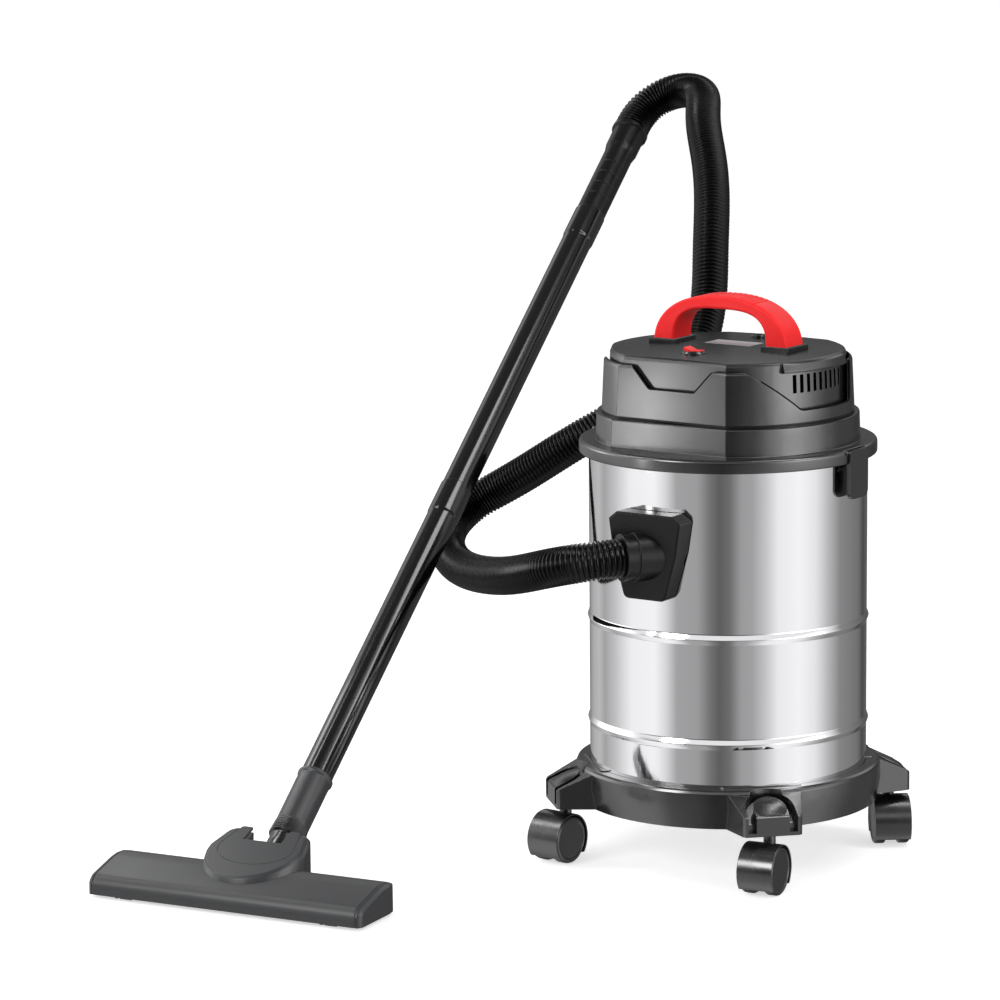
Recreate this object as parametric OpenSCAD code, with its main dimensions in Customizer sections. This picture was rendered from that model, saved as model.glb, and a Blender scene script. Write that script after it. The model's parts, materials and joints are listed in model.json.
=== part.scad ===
// Shop vacuum: a steel tank on four twin-wheel casters, a lift-off motor head, and a hose, wand and floor nozzle.
// Millimetres. The origin is on the floor under the tank's axis, +Z is up and the hose inlet faces -Y.

/* [Tank] */
// Outer diameter of the steel tank
tank_d = 300; // [280:1:330]
// Height of the tank from its floor to its rim
tank_h = 360; // [300:1:430]
// Thickness of the tank's wall
tank_wall = 1.2; // [0.8:0.1:2]
// Height of the lower bead above the tank's floor
bead_low = 60; // [40:1:90]
// Height of the upper bead above the tank's floor
bead_high = 173; // [140:1:200]
// Width of a bead
bead_w = 11; // [8:0.5:14]
// How far a bead stands out
bead_rise = 2; // [1:0.1:3]
// How far the rolled rim stands out
rim_rise = 4; // [3:0.1:5]

/* [Base ring] */
// Width of the ledge between the tank and the base ring's edge
ring_ledge = 15; // [12:0.5:20]
// Height of the base ring
ring_h = 42; // [36:1:50]
// How deep the tank stands in the base ring
seat_depth = 14; // [10:0.5:20]
// Thickness of the base ring's walls
ring_wall = 3; // [2:0.1:4]
// How far the caster bosses reach beyond the tank's wall
boss_reach = 47; // [44:0.5:54]
// Width of a caster boss at its front
boss_w = 62; // [54:1:66]
// Width of a boss cap
boss_cap_w = 36; // [28:1:38]
// Width of the channel round a boss cap
channel_w = 8.5; // [5:0.5:9]
// Depth of the channel round a boss cap
channel_depth = 9; // [5:0.5:12]

/* [Casters] */
// Diameter of a caster wheel
wheel_d = 52; // [44:1:62]
// Width of one caster wheel
wheel_w = 13; // [10:0.5:16]
// Thickness of the web between a caster's two wheels
caster_web = 12; // [11:0.5:16]
// Distance from the swivel axis to the wheel axle
caster_trail = 15; // [12:0.5:20]
// Diameter of a caster's stem
stem_d = 9; // [6:0.5:9]
// Diameter of a caster's axle
axle_d = 6; // [4:0.5:8]

/* [Head] */
// Height of the flange that closes the tank
flange_h = 14.5; // [13:0.5:18]
// Height of the band above the flange
band_h = 29.5; // [24:0.5:36]
// Height of the middle shell
shell_h = 59; // [52:0.5:66]
// How far the deck stands above the band
deck_rise = 67; // [62:0.5:74]
// Height of the deck's crown
deck_crown = 4; // [2:0.5:5]
// Thickness of the head's plastic walls
head_wall = 3; // [2:0.1:4]
// Width of the shadow gap between the shell and the cap
cap_gap = 3.4; // [1:0.1:4]
// Number of vent slots on each side
vent_count = 9; // [5:1:9]
// Width of a vent slot
vent_w = 4.4; // [3:0.1:5]

/* [Handle] */
// Length of the carrying handle
handle_l = 166; // [140:1:180]
// Height of the carrying handle above its bezels
handle_h = 53; // [46:1:64]
// Depth of the grip, front to back
handle_depth = 38; // [30:1:42]
// Width of a handle foot
foot_w = 26; // [20:1:30]
// Thickness of the grip at its crown
grip_t = 14.5; // [12:0.5:18]

/* [Latches] */
// Width of a latch
latch_w = 38; // [30:1:44]
// Length of a latch
latch_l = 52; // [46:1:58]
// Thickness of a latch
latch_t = 4.5; // [3.5:0.1:5]

/* [Inlet and hose] */
// Height of the inlet's centre above the tank's floor
inlet_h = 262; // [230:1:280]
// Distance from the tank's axis to the inlet's front face
inlet_face = 172; // [168:0.5:176]
// Outer diameter of the hose
hose_d = 42; // [36:1:44]
// Outer diameter of the connector at the inlet
connector_d = 49; // [46:0.5:50]

/* [Wand] */
// Outer diameter of the wand tubes
tube_d = 35; // [32:0.5:37]
// Thickness of the tubes' wall
tube_wall = 1; // [0.8:0.1:1.4]
// Visible length of the lower tube
tube_low_l = 423; // [380:1:460]
// Visible length of the upper tube
tube_high_l = 445; // [400:1:480]
// Length of the cuff between the wand and the hose
cuff_l = 145; // [120:1:160]
// How deep one tube sits in the next
socket_l = 42; // [30:1:60]

/* [Nozzle] */
// Length of the floor nozzle
nozzle_l = 328; // [290:1:340]
// Depth of the floor nozzle
nozzle_depth = 98; // [88:1:110]
// Height of the floor nozzle's back
nozzle_h = 38; // [34:0.5:42]
// Diameter of the front rollers
roller_d = 14; // [10:0.5:16]

/* [Hidden] */

$fn = 96;
gap = 0.3; // between pieces that don't touch
run = 0.05; // radial clearance of a running fit
face = 0.02; // radial clearance of a pressed pin

// Tank and base heights
tank_r = tank_d / 2;
hood_t = 1.8;
hood_r = wheel_d / 2 + 0.6 + hood_t;
hood_w = caster_web + 2 * wheel_w + 2;
ring_z = wheel_d / 2 + hood_r + 7.6;
ring_top = ring_z + ring_h;
floor_z = ring_top - seat_depth;
rim_z = floor_z + tank_h;
ring_r = tank_r + ring_ledge;
seat_r = tank_r - 32;
boss_high = 1; // a boss's top at the tank's wall, above the ring
boss_low = 20; // and at its front edge, below the ring's top
cap_x = ring_r + 0.5 + boss_cap_w / 2; // middle of a boss cap
cap_crown = 2.4;

// Casters: names follow the corner, angles are from +X
caster_r = tank_r + 31;
wheel_side = 0.5; // between the web and a wheel
wheel_face = 2.5; // thickness of a wheel's closed face, with its dish
corners = [225, 315, 135, 45];
trails = [266, 278, 240, 308]; // which way each caster's wheels trail at rest
boss_r = tank_r + boss_reach;

// Head heights and radii
seal_t = 1.7;
pan_z = rim_z + gap + seal_t; // underside of the head's floor
flange_z = pan_z + 4.5 - flange_h;
band_z = flange_z + flange_h;
shell_z = band_z + band_h;
deck_z = shell_z + deck_rise;
flange_r = tank_r + 10.5;
band_r = tank_r - 7.7;
shell_r = tank_r - 14.2;
cap_r = shell_r - head_wall - cap_gap;
draft = 0.045; // how much the head's walls lean in, per millimetre of height
flat_share = cos(30); // the head's front and back are cut flat at this share of its radius
step_h = 2.5; // height of the shadow groove under the middle shell
dip_z = shell_z + 35; // lowest point of the front cut-out
side_dip_z = shell_z + 16; // lowest point of the side cut-outs
vent_z = shell_z + 33.5;
vent_h = 19;
vent_start = 64.3; // degrees from the front to the first slot
vent_pitch = 4.2;
left_turn = 18; // the left side's cut-out and vents stand this many degrees further back

// Deck fittings
foot_x = (handle_l - foot_w) / 2;
bezel_rim = 3.5;
bezel_h = 6.5;
seat_z = deck_z + 1.3; // floor of the pockets in the deck
label_size = [57, 32, 1.2];
label_y = 12;
switch_y = -70;
switch_r = 13.5;
rocker_size = [19, 12.6];
gland_y = 64;
gland_r = 8;

// Latches
latch_gap = 0.4;
latch_pin_d = 2;
latch_pin_x = flange_r - 2.75;
latch_pin_z = band_z - 0.4 - latch_t / 2;
latch_x = latch_pin_x - 0.25; // inner face of a latch
notch_x = latch_pin_x - 4.5;

// Motor and filter
motor_z = band_z - 2;
fan_r = 55;
can_r = 43;
cage_r = 50;
cage_l = 78;
intake_r = 26;
head_screw_r = 118;
guide_r = 31.4; // inner edge of the float's guide ribs
float_r = guide_r - 0.4;

// Inlet
inlet_z = floor_z + inlet_h;
inlet_cant = 38;
inlet_x = -6; // where the connector's axis meets the housing's front
bore_r = 19.9;
connector_l = 20;

// Wand frame: its own origin is under the nozzle's pivot
wand_at = [-316, -411];
wand_yaw = 7;
lean = 38;
pivot_z = 24;
tube_r = tube_d / 2;
neck_s = 58; // distance from the pivot to the neck cuff
neck_l = 69;
low_s = neck_s + neck_l;
high_s = low_s + tube_low_l;
cuff_s = high_s + tube_high_l;
hose_s = cuff_s + cuff_l;
neck_bore_r = 12.5;
barrel_r = 12.5;
barrel_l = 50;
pivot_pin_r = 4;
notch_w = 46; // width of the notch that the neck moves in
notch_y = -18; // front of the notch

// Nozzle, in the wand frame: x along its length, y to the back
back_y = -7;
nozzle_y = back_y - nozzle_depth; // front edge
sole_z = 4;
sole_t = 3;
sole_gap = 0.8; // behind the sole plate, where the shell's wall leans in
slot_y = nozzle_y + 34;
slot_size = [nozzle_l - 118, 13];
brush_y = 11.5; // distance from the slot's middle to a brush strip
roller_x = nozzle_l / 2 - 41;
roller_y = nozzle_y + 12;
cap_t = 7;
corner_r = 34; // of the nozzle's back corners, in plan
nose_r = 8; // and of its front corners
dome_y = nozzle_y + 20; // front of the cover's rim
dome_z = nozzle_h - 3;
dome_w = 114;
dome_l = 94;
dome_nose = 58; // length of its curved front
dome_tilt = 19.7;
pedal_inset = 13; // at the sides
pedal_front = 28; // and in front
pedal_gap = 0.5;
pedal_t = 3;
pedal_pin_r = 1.4;
pedal_pin_y = dome_nose + 2; // from the cover's front rim, along its top

// Hose route, from the inlet to the wand's cuff, in millimetres
hose_points = [[-31, -205, 351], [-56, -218, 347], [-92, -215, 338], [-136, -189, 324], [-188, -150, 309],
    [-244, -102, 296], [-301, -54, 286], [-350, -15, 285], [-387, 20, 297], [-401, 54, 316], [-389, 84, 336],
    [-360, 98, 354], [-326, 101, 374], [-289, 104, 398], [-258, 111, 418], [-232, 128, 436], [-212, 154, 450],
    [-198, 190, 466], [-190, 228, 488], [-190, 263, 522], [-199, 292, 566], [-216, 320, 615], [-236, 358, 660],
    [-264, 400, 702], [-300, 441, 740], [-319, 474, 762], [-337, 504, 772], [-366, 522, 776], [-397, 523, 771],
    [-420, 509, 755], [-427, 493, 737]];

// ---- functions ----

function unit(v) = v / norm(v);
function flip(list) = [for (i = [len(list) - 1:-1:0]) list[i]];
function mirrored(list) = concat(list, [for (p = flip(list)) [-p.x, p.y]]);

// An outline whose corners are rounded: each point is [x, y, radius]
function rounded(pts) = [for (i = [0:len(pts) - 1])
    each bend(pts[(i + len(pts) - 1) % len(pts)], pts[i], pts[(i + 1) % len(pts)])];
function bend(a, b, c) = b.z == 0 ? [[b.x, b.y]] :
    let (p = [b.x, b.y], u = unit([a.x, a.y] - p), v = unit([c.x, c.y] - p),
        half = acos(max(-1, min(1, u * v))) / 2, centre = p + unit(u + v) * b.z / sin(half),
        from = p + u * b.z / tan(half) - centre, to = p + v * b.z / tan(half) - centre,
        start = atan2(from.y, from.x), turn = (atan2(to.y, to.x) - start + 540) % 360 - 180,
        steps = max(2, ceil(abs(turn) / 18)))
    [for (k = [0:steps]) centre + b.z * [cos(start + turn * k / steps), sin(start + turn * k / steps)]];

// A smooth curve near the points, which it meets at both ends
function spline(pts, steps) = let (n = len(pts),
        q = concat([2 * pts[0] - pts[1]], pts, [2 * pts[n - 1] - pts[n - 2]]))
    concat([for (i = [0:n - 2], k = [0:steps - 1]) let (t = k / steps, s = 1 - t)
        (s * s * s * q[i] + (3 * t * t * t - 6 * t * t + 4) * q[i + 1]
        + (3 * s * s * s - 6 * s * s + 4) * q[i + 2] + t * t * t * q[i + 3]) / 6], [pts[n - 1]]);

// Triangles that join rings of the same number of points and close both ends
function skin(rings, around) = concat([for (i = [0:rings - 2], k = [0:around - 1])
        let (a = i * around + k, b = i * around + (k + 1) % around)
            each [[a, b, a + around], [b, b + around, a + around]]],
    [[for (k = [around - 1:-1:0]) k]], [[for (k = [0:around - 1]) (rings - 1) * around + k]]);

// Rings of a round tube along a path, each turned as little as possible from the one before
function carry(side, dir) = unit(side - (side * dir) * dir);
function sides(dirs, first) = [for (i = 0, s = carry(first, dirs[0]); i < len(dirs);
    i = i + 1, s = i < len(dirs) ? carry(s, dirs[i]) : s) s];

// ---- shared shapes ----

module tube_along(path, first, final, radius, around) {
    last = len(path) - 1;
    dirs = [for (i = [0:last]) i == 0 ? first : i == last ? final : unit(path[i + 1] - path[i - 1])];
    across = sides(dirs, [0, 0, 1]);
    points = [for (i = [0:last], k = [0:around - 1]) let (a = 360 * k / around)
        path[i] + radius * (cos(a) * across[i] + sin(a) * cross(dirs[i], across[i]))];
    polyhedron(points, skin(last + 1, around), convexity = 8);
}

// Round sides with a flat front and back: profile = [[radius, height], ...] from the bottom to the top
module head_form(profile, crown = 0) {
    last = profile[len(profile) - 1];
    top = last.y + crown;
    arc = crown == 0 ? [[0, top]] : [for (k = [1:6]) let (r = last.x * (1 - k / 6))
        [r, top - crown * pow(r / last.x, 2)]];
    intersection() {
        rotate_extrude() polygon(concat([[0, profile[0].y]], profile, arc));
        rotate([90, 0, 90]) linear_extrude(2 * profile[0].x + 2, center = true) polygon(mirrored(concat(
            [for (p = profile) [flat_share * p.x, p.y]],
            crown == 0 ? [] : [[flat_share * last.x - 6, top + 1]])));
    }
}

// Radius of the cap or shell at a height, with the draft of its walls
function at_height(radius, z) = radius - draft * (z - shell_z);

module box(size, at) {
    translate(at - [size.x / 2, size.y / 2, 0]) cube(size);
}

module both_sides() {
    children();
    mirror([1, 0, 0]) children();
}

// ---- tank and base ----

function bead(height) = [for (i = [-3:3])
    [tank_r + bead_rise * (1 + cos(60 * i)) / 2, floor_z + height + bead_w * i / 6]];
function tank_outline() = concat([[0, floor_z], [tank_r - 7, floor_z], [tank_r - 2, floor_z + 2],
    [tank_r, floor_z + 7]],
    bead(bead_low), bead(bead_high), [[tank_r, rim_z - 8], [tank_r + rim_rise - 1, rim_z - 7],
    [tank_r + rim_rise, rim_z - 4], [tank_r + rim_rise - 1, rim_z - 1], [tank_r + 1, rim_z]]);
function tank_lining() = concat([[tank_r - tank_wall, rim_z]],
    [for (p = flip(bead(bead_high))) p - [tank_wall, 0]], [for (p = flip(bead(bead_low))) p - [tank_wall, 0]],
    [[tank_r - tank_wall, floor_z + 7 + tank_wall / 2], [tank_r - 2 - tank_wall / 2, floor_z + 2 + tank_wall],
    [tank_r - 7, floor_z + tank_wall], [0, floor_z + tank_wall]]);

module tank_shell() {
    color("gainsboro") difference() {
        rotate_extrude() polygon(concat(tank_outline(), tank_lining()));
        inlet_bore(bore_r + 1);
    }
}

module ring_section() {
    polygon([[seat_r, floor_z], [tank_r + gap, floor_z], [tank_r + gap, ring_top], [ring_r - 4, ring_top],
        [ring_r - 1.2, ring_top - 1.2], [ring_r, ring_top - 4], [ring_r + 0.6, ring_top - ring_h / 2],
        [ring_r - 3, ring_z],
        [ring_r - 3 - ring_wall, ring_z], [ring_r - ring_wall, ring_top - ring_h / 2],
        [ring_r - ring_wall - 1, ring_top - ring_wall - 1], [tank_r + gap + ring_wall, ring_top - ring_wall],
        [tank_r + gap + ring_wall, floor_z - ring_wall], [seat_r + ring_wall, floor_z - ring_wall],
        [seat_r + ring_wall, floor_z - 18], [seat_r, floor_z - 18]]);
}

// Side of a caster boss, sunk by a distance below its outer face
module boss_side(sunk, width) {
    rotate([90, 0, 0]) linear_extrude(width, center = true) polygon([[tank_r - 12, ring_z],
        [boss_r - sunk, ring_z],
        [boss_r - sunk, ring_top - boss_low - 2 - sunk], [boss_r - 2 - sunk, ring_top - boss_low - sunk],
        [tank_r, ring_top + boss_high - sunk], [tank_r - 12, ring_top + boss_high - sunk]]);
}

module boss_plan(height) {
    translate([0, 0, ring_z]) linear_extrude(height) polygon(mirrored_y([[tank_r - 12, boss_w / 2 + 14],
        [tank_r + 2, boss_w / 2 + 11], [boss_r - 3, boss_w / 2 + 1], [boss_r, boss_w / 2 - 2]]));
}
function mirrored_y(list) = concat(list, [for (p = flip(list)) [p.x, -p.y]]);

// Plan of the boss cap, a slot with its round end towards the tank
module cap_plan(width) {
    translate([cap_x, 0]) circle(d = width);
    translate([cap_x, -width / 2]) square([30, width]);
}

module caster_boss() {
    intersection() {
        boss_plan(80);
        boss_side(0, 100);
    }
}

// The deep horseshoe channel round a boss cap, closed at the foot of the boss
module boss_channel() {
    difference() {
        translate([0, 0, ring_z + 4]) linear_extrude(90) difference() {
            cap_plan(boss_cap_w + 2 * channel_w);
            cap_plan(boss_cap_w);
        }
        boss_side(channel_depth, 100);
    }
}

module base_ring() {
    color("dimgray") difference() {
        union() {
            rotate_extrude() ring_section();
            for (a = [11.25:22.5:348.75]) rotate(a) translate([seat_r + 1, -1.25, floor_z - 18])
                cube([ring_r - seat_r - 6, 2.5, 15.5]);
            for (a = corners) rotate(a) caster_boss();
        }
        translate([0, 0, floor_z]) cylinder(r = tank_r + gap, h = ring_h);
        for (a = corners) rotate(a) {
            boss_channel();
            translate([caster_r, 0, ring_z - 1]) cylinder(d = stem_d + 2 * run, h = 27);
        }
        for (a = [0:90:270]) rotate(a) translate([tank_r - 20, 0, floor_z - 20]) cylinder(r = 2 + face, h = 22);
    }
}

// Shallow domes on the bosses, cut off at their front edge
module boss_caps() {
    slope = (boss_high + boss_low) / (boss_reach - 2);
    r = (pow(boss_cap_w / 2, 2) + pow(cap_crown, 2)) / (2 * cap_crown);
    middle = [cap_x, 0, ring_top + boss_high - slope * (cap_x - tank_r)];
    color("slategray") for (a = corners) rotate(a) intersection() {
        translate(middle + (cap_crown - r) * unit([slope, 0, 1])) sphere(r = r);
        translate([tank_r, -boss_cap_w / 2, ring_z]) cube([boss_reach - 2, boss_cap_w, 2 * ring_h]);
        difference() {
            translate([0, 0, 2 * cap_crown]) boss_side(0, 60);
            boss_side(0, 61);
        }
    }
}

module base_screws() {
    color("silver") for (a = [0:90:270]) rotate(a) translate([tank_r - 20, 0, floor_z]) {
        translate([0, 0, -6]) cylinder(r = 2, h = 6);
        translate([0, 0, -ring_wall - 2.4]) cylinder(r = 4, h = 2.4);
    }
}

// ---- casters ----

// Puts a shape in a caster's frame: origin under its stem, +X towards its wheels
module at_caster(i) {
    rotate(corners[i]) translate([caster_r, 0, 0]) rotate(trails[i] - corners[i]) children();
}
module at_axle() {
    translate([caster_trail, 0, wheel_d / 2]) rotate([90, 0, 0]) children();
}

module caster_hood(i) {
    color("dimgray") at_caster(i) difference() {
        union() {
            at_axle() cylinder(r = hood_r, h = hood_w, center = true);
            translate([0, 0, wheel_d / 2 + 8]) cylinder(d = stem_d + 4, h = ring_z - gap - wheel_d / 2 - 8);
        }
        for (s = [-1, 1]) at_axle() translate([0, 0, s * (caster_web + wheel_w + 2) / 2])
            cylinder(r = hood_r - hood_t, h = wheel_w + 2.02, center = true);
        translate([caster_trail - 50, -hood_w, -50]) cube([100, 2 * hood_w, 58]);
        at_axle() cylinder(d = axle_d + 2 * face, h = hood_w, center = true);
        translate([0, 0, wheel_d / 2 + 10]) cylinder(d = stem_d + 2 * face, h = 40);
    }
}

module caster_pins(i) {
    color("silver") at_caster(i) {
        at_axle() cylinder(d = axle_d, h = caster_web + 2 * (wheel_side + wheel_w - wheel_face - gap), center = true);
        translate([0, 0, wheel_d / 2 + 10]) cylinder(d = stem_d, h = ring_z - wheel_d / 2 + 15);
    }
}

// One wheel of a caster, on side s of the web
module caster_wheel(i, s) {
    r = wheel_d / 2;
    hub = axle_d / 2 + 4;
    color("dimgray") at_caster(i) at_axle() rotate([s > 0 ? 180 : 0, 0, 0])
        translate([0, 0, caster_web / 2 + wheel_side]) rotate_extrude() polygon([[axle_d / 2 + run, 0], [hub, 0],
            [hub, wheel_w - 4], [r - 4, wheel_w - 4], [r - 4, 0.5], [r - 1.5, 0.5], [r, 2], [r, wheel_w - 1.5],
            [r - 1.5, wheel_w], [r - 4, wheel_w], [r - 5, wheel_w - 1], [0, wheel_w - 1], [0, wheel_w - wheel_face],
            [axle_d / 2 + run, wheel_w - wheel_face]]);
}

// ---- inlet and hose ----

// The connector's axis, from the housing's front outwards along +Z
module at_connector(out = 0) {
    translate([inlet_x, -inlet_face, inlet_z]) rotate([90, 0, -inlet_cant]) translate([0, 0, out]) children();
}

module inlet_bore(radius) {
    at_connector(-60) cylinder(r = radius, h = 90);
}

// Outline of the housing's face: wide at the top, with cut corners, and narrow at its rounded foot
function housing_outline() = rounded([[-34, 46, 2], [34, 46, 2], [44, 38, 2], [39, 4, 30], [25, -46, 7],
    [-25, -46, 7],
    [-39, 4, 30], [-44, 38, 2]]);

module inlet_housing() {
    color([0.2, 0.2, 0.21]) difference() {
        union() {
            translate([0, -tank_r + 40, inlet_z]) rotate([90, 0, 0]) linear_extrude(inlet_face - tank_r + 38.5)
                polygon(housing_outline());
            translate([0, -inlet_face + 2, inlet_z]) rotate([90, 0, 0]) linear_extrude(2) scale(0.965)
                polygon(housing_outline());
        }
        translate([0, 0, inlet_z - 80]) cylinder(r = tank_r + 1.5, h = 160);
        inlet_bore(bore_r + run);
    }
}

module inlet_gasket() {
    color([0.1, 0.1, 0.1]) difference() {
        intersection() {
            translate([0, 0, inlet_z - 80]) cylinder(r = tank_r + 1.5 - face, h = 160);
            translate([0, -tank_r + 40, inlet_z]) rotate([90, 0, 0]) linear_extrude(60) scale(0.93)
                polygon(housing_outline());
        }
        translate([0, 0, inlet_z - 90]) cylinder(r = tank_r + face, h = 180);
        inlet_bore(bore_r + 4);
    }
}

module hose_connector() {
    color([0.22, 0.22, 0.23]) difference() {
        union() {
            difference() {
                union() {
                    at_connector(-40) cylinder(d = connector_d, h = 40 + connector_l);
                    at_connector(-40) cylinder(d = connector_d + 3, h = 46);
                    at_connector(connector_l - 4) cylinder(d = connector_d + 2, h = 4);
                }
                translate([-100, -inlet_face, inlet_z - 60]) cube([200, 80, 120]);
            }
            at_connector(-20) cylinder(r = bore_r, h = 30);
        }
        at_connector(-30) cylinder(r = bore_r - 2.4, h = 30 + connector_l - 8);
    }
}

module hose() {
    out = [-sin(inlet_cant), -cos(inlet_cant), 0];
    start = [inlet_x, -inlet_face, inlet_z] + connector_l * out;
    up = [-sin(wand_yaw) * cos(lean), cos(wand_yaw) * cos(lean), sin(lean)];
    end = [wand_at.x, wand_at.y, pivot_z] + hose_s * up;
    path = spline(concat([start], hose_points, [end]), 2);
    color([0.1, 0.1, 0.1]) tube_along(path, out, -up, hose_d / 2, 12);
}

// ---- wand ----

// The wand's frame, and a point along its axis
module at_wand() {
    translate([wand_at.x, wand_at.y, 0]) rotate(wand_yaw) children();
}
module along_wand(s = 0) {
    at_wand() translate([0, 0, pivot_z]) rotate([lean - 90, 0, 0]) translate([0, 0, s]) children();
}

// A tube whose upper end opens into a socket
module wand_tube(from, to) {
    socket = to - socket_l - 4;
    along_wand() rotate_extrude() polygon([[tube_r, from], [tube_r, socket],
        [tube_r + tube_wall + run, socket + 4],
        [tube_r + tube_wall + run, to - 1], [tube_r + tube_wall - 0.3, to], [tube_r + run, to],
        [tube_r + run, socket + 4],
        [tube_r - tube_wall, socket], [tube_r - tube_wall, from]]);
}

module wand_lower_tube() {
    color([0.12, 0.12, 0.13]) wand_tube(low_s - socket_l, high_s);
}

module wand_upper_tube() {
    color([0.12, 0.12, 0.13]) wand_tube(high_s - socket_l + 1, cuff_s);
}

module wand_cuff() {
    r = tube_r;
    color([0.22, 0.22, 0.23]) along_wand() rotate_extrude() polygon(concat([[r - 3, cuff_s - socket_l + 4],
        [r - 0.2, cuff_s - socket_l + 4], [r, cuff_s - socket_l + 6], [r, cuff_s + 1]],
        [for (k = [0:3]) each [[r, cuff_s + 22 + 18 * k], [r - 0.7, cuff_s + 22.8 + 18 * k],
        [r, cuff_s + 23.6 + 18 * k]]],
        [[r, hose_s - 44], [hose_d / 2 - 1.5, hose_s - 34], [hose_d / 2 - 1.5, hose_s - 7],
        [hose_d / 2 + 1, hose_s - 6],
        [hose_d / 2 + 1, hose_s - 1], [hose_d / 2, hose_s], [r - 5, hose_s], [r - 5, hose_s - 60],
        [r - 3, hose_s - 70]]));
}

module neck_cuff() {
    r = tube_r + 1;
    color([0.33, 0.33, 0.34]) along_wand() rotate_extrude() polygon([[neck_bore_r, neck_s], [r - 0.6, neck_s],
        [r, neck_s + 1.5],
        [r, low_s - 6], [r + 1.4, low_s - 4], [r + 1.4, low_s - 1], [r + 0.6, low_s], [tube_r + face, low_s],
        [tube_r + face, low_s - socket_l], [tube_r - tube_wall, low_s - socket_l - 1],
        [neck_bore_r + 2, neck_s + 12],
        [neck_bore_r, neck_s + 10]]);
}

// ---- nozzle ----

module at_pivot() {
    translate([0, 0, pivot_z]) rotate([0, 90, 0]) children();
}

// Ribbed swivel, and the barrel that tilts in the nozzle
module neck_swivel() {
    ribs = 7;
    start = neck_s - 17;
    pitch = (neck_s - gap - start) / ribs;
    spigot = neck_bore_r - run;
    color([0.16, 0.16, 0.17]) difference() {
        union() {
            along_wand() rotate_extrude() polygon(concat([[0, 0], [barrel_r, 0], [barrel_r, 8], [15.5, 13],
                [16.6, 20],
                [17, 30], [16.6, start - 1]], [for (k = [0:ribs - 1]) each [[18, start + pitch * k],
                [19.8 - 0.15 * k, start + pitch * (k + 0.3)], [19.8 - 0.15 * k, start + pitch * (k + 0.7)]]],
                [[18, neck_s - gap], [spigot, neck_s - gap], [spigot, neck_s + 9.6], [0, neck_s + 9.6]]));
            at_wand() at_pivot() cylinder(r = barrel_r, h = barrel_l, center = true);
        }
        along_wand(-6) cylinder(r = 9.5, h = neck_s + 20);
        at_wand() at_pivot() cylinder(r = pivot_pin_r + run, h = barrel_l + 2, center = true);
    }
}

// Side of the nozzle: a round front edge, a crowned top and a round back
function nozzle_side(inset) = rounded([[nozzle_y + inset, sole_z, 0], [nozzle_y + inset, 23 - inset, 15 - inset],
    [nozzle_y + 56, nozzle_h - inset, 60], [back_y - 24, nozzle_h - 2 - inset, 24],
    [back_y - inset, 22 - inset, 14 - inset], [back_y - inset, sole_z, 0]]);

// Plan of the nozzle: wide round corners at the back and small ones in front
module nozzle_plan(inset) {
    x = nozzle_l / 2 - inset;
    linear_extrude(2 * nozzle_h) polygon(rounded([[x, nozzle_y + inset, nose_r - inset],
        [x, back_y - inset, corner_r - inset],
        [-x, back_y - inset, corner_r - inset], [-x, nozzle_y + inset, nose_r - inset]]));
}

// An outline in the YZ plane, drawn along X
module across(length) {
    rotate([90, 0, 90]) linear_extrude(length, center = true) children();
}

// What the tilt joint and the neck need: the barrel's pocket, the pin's bore and the notch at the back
module pivot_space() {
    at_pivot() {
        cylinder(r = barrel_r + 1, h = barrel_l + 2, center = true);
        cylinder(r = pivot_pin_r + face, h = barrel_l + 14, center = true);
    }
    translate([-notch_w / 2, notch_y, pivot_z - 16.5]) cube([notch_w, 60, 80]);
}

module nozzle_shell() {
    color([0.33, 0.33, 0.34]) at_wand() difference() {
        intersection() {
            across(nozzle_l - 2 * cap_t) polygon(nozzle_side(0));
            nozzle_plan(0);
        }
        intersection() {
            union() {
                translate([0, 0, -1]) across(nozzle_l - 2 * cap_t - 6) polygon(nozzle_side(3));
                across(nozzle_l - 2 * cap_t - 6) polygon(nozzle_side(3));
            }
            nozzle_plan(3);
        }
        pivot_space();
    }
}

module nozzle_end_caps() {
    color([0.3, 0.3, 0.31]) at_wand() both_sides() intersection() {
        translate([nozzle_l / 2 - cap_t, 0, 0]) {
            translate([0.5, 0, 0]) across(1) polygon(nozzle_side(1.4));
            hull() {
                translate([1.5, 0, 0]) across(1) polygon(nozzle_side(0.2));
                translate([4, 0, 0]) across(1) polygon(nozzle_side(1));
                translate([cap_t - 0.5, 0, 0]) across(1) polygon(nozzle_side(4.5));
            }
        }
        nozzle_plan(0);
    }
}

module nozzle_sole() {
    plate = [nozzle_l - 2 * cap_t - 6 - 2 * face, nozzle_depth - 6 - sole_gap];
    color([0.2, 0.2, 0.2]) at_wand() difference() {
        union() {
            intersection() {
                translate([0, (nozzle_y + back_y - sole_gap) / 2 + face, sole_z]) linear_extrude(sole_t)
                    square(plate, center = true);
                nozzle_plan(3 + sole_gap);
            }
            for (y = [slot_y - 19, slot_y + 19]) translate([0, y, sole_z - 2]) linear_extrude(3)
                square([slot_size.x, 3], center = true);
            for (s = [-1, 1]) translate([s * (nozzle_l / 2 - 34), back_y - 16, 0]) linear_extrude(5)
                square([30, 8], center = true);
            for (s = [-1, 1]) translate([s * roller_x, roller_y, 1.4]) linear_extrude(6)
                square([20, 11], center = true);
        }
        translate([0, slot_y, -1]) linear_extrude(20) square(slot_size, center = true);
        for (s = [-1, 1]) translate([s * roller_x, roller_y, -1]) linear_extrude(30)
            square([13, roller_d + 3], center = true);
        for (s = [-1, 1]) translate([s * roller_x, roller_y, roller_d / 2]) rotate([0, 90, 0])
            cylinder(r = 1.5 + face, h = 17.4, center = true);
        for (y = [slot_y - brush_y, slot_y + brush_y]) translate([0, y, -1]) linear_extrude(20)
            square([slot_size.x + 0.6, 4.6], center = true);
    }
}

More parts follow.
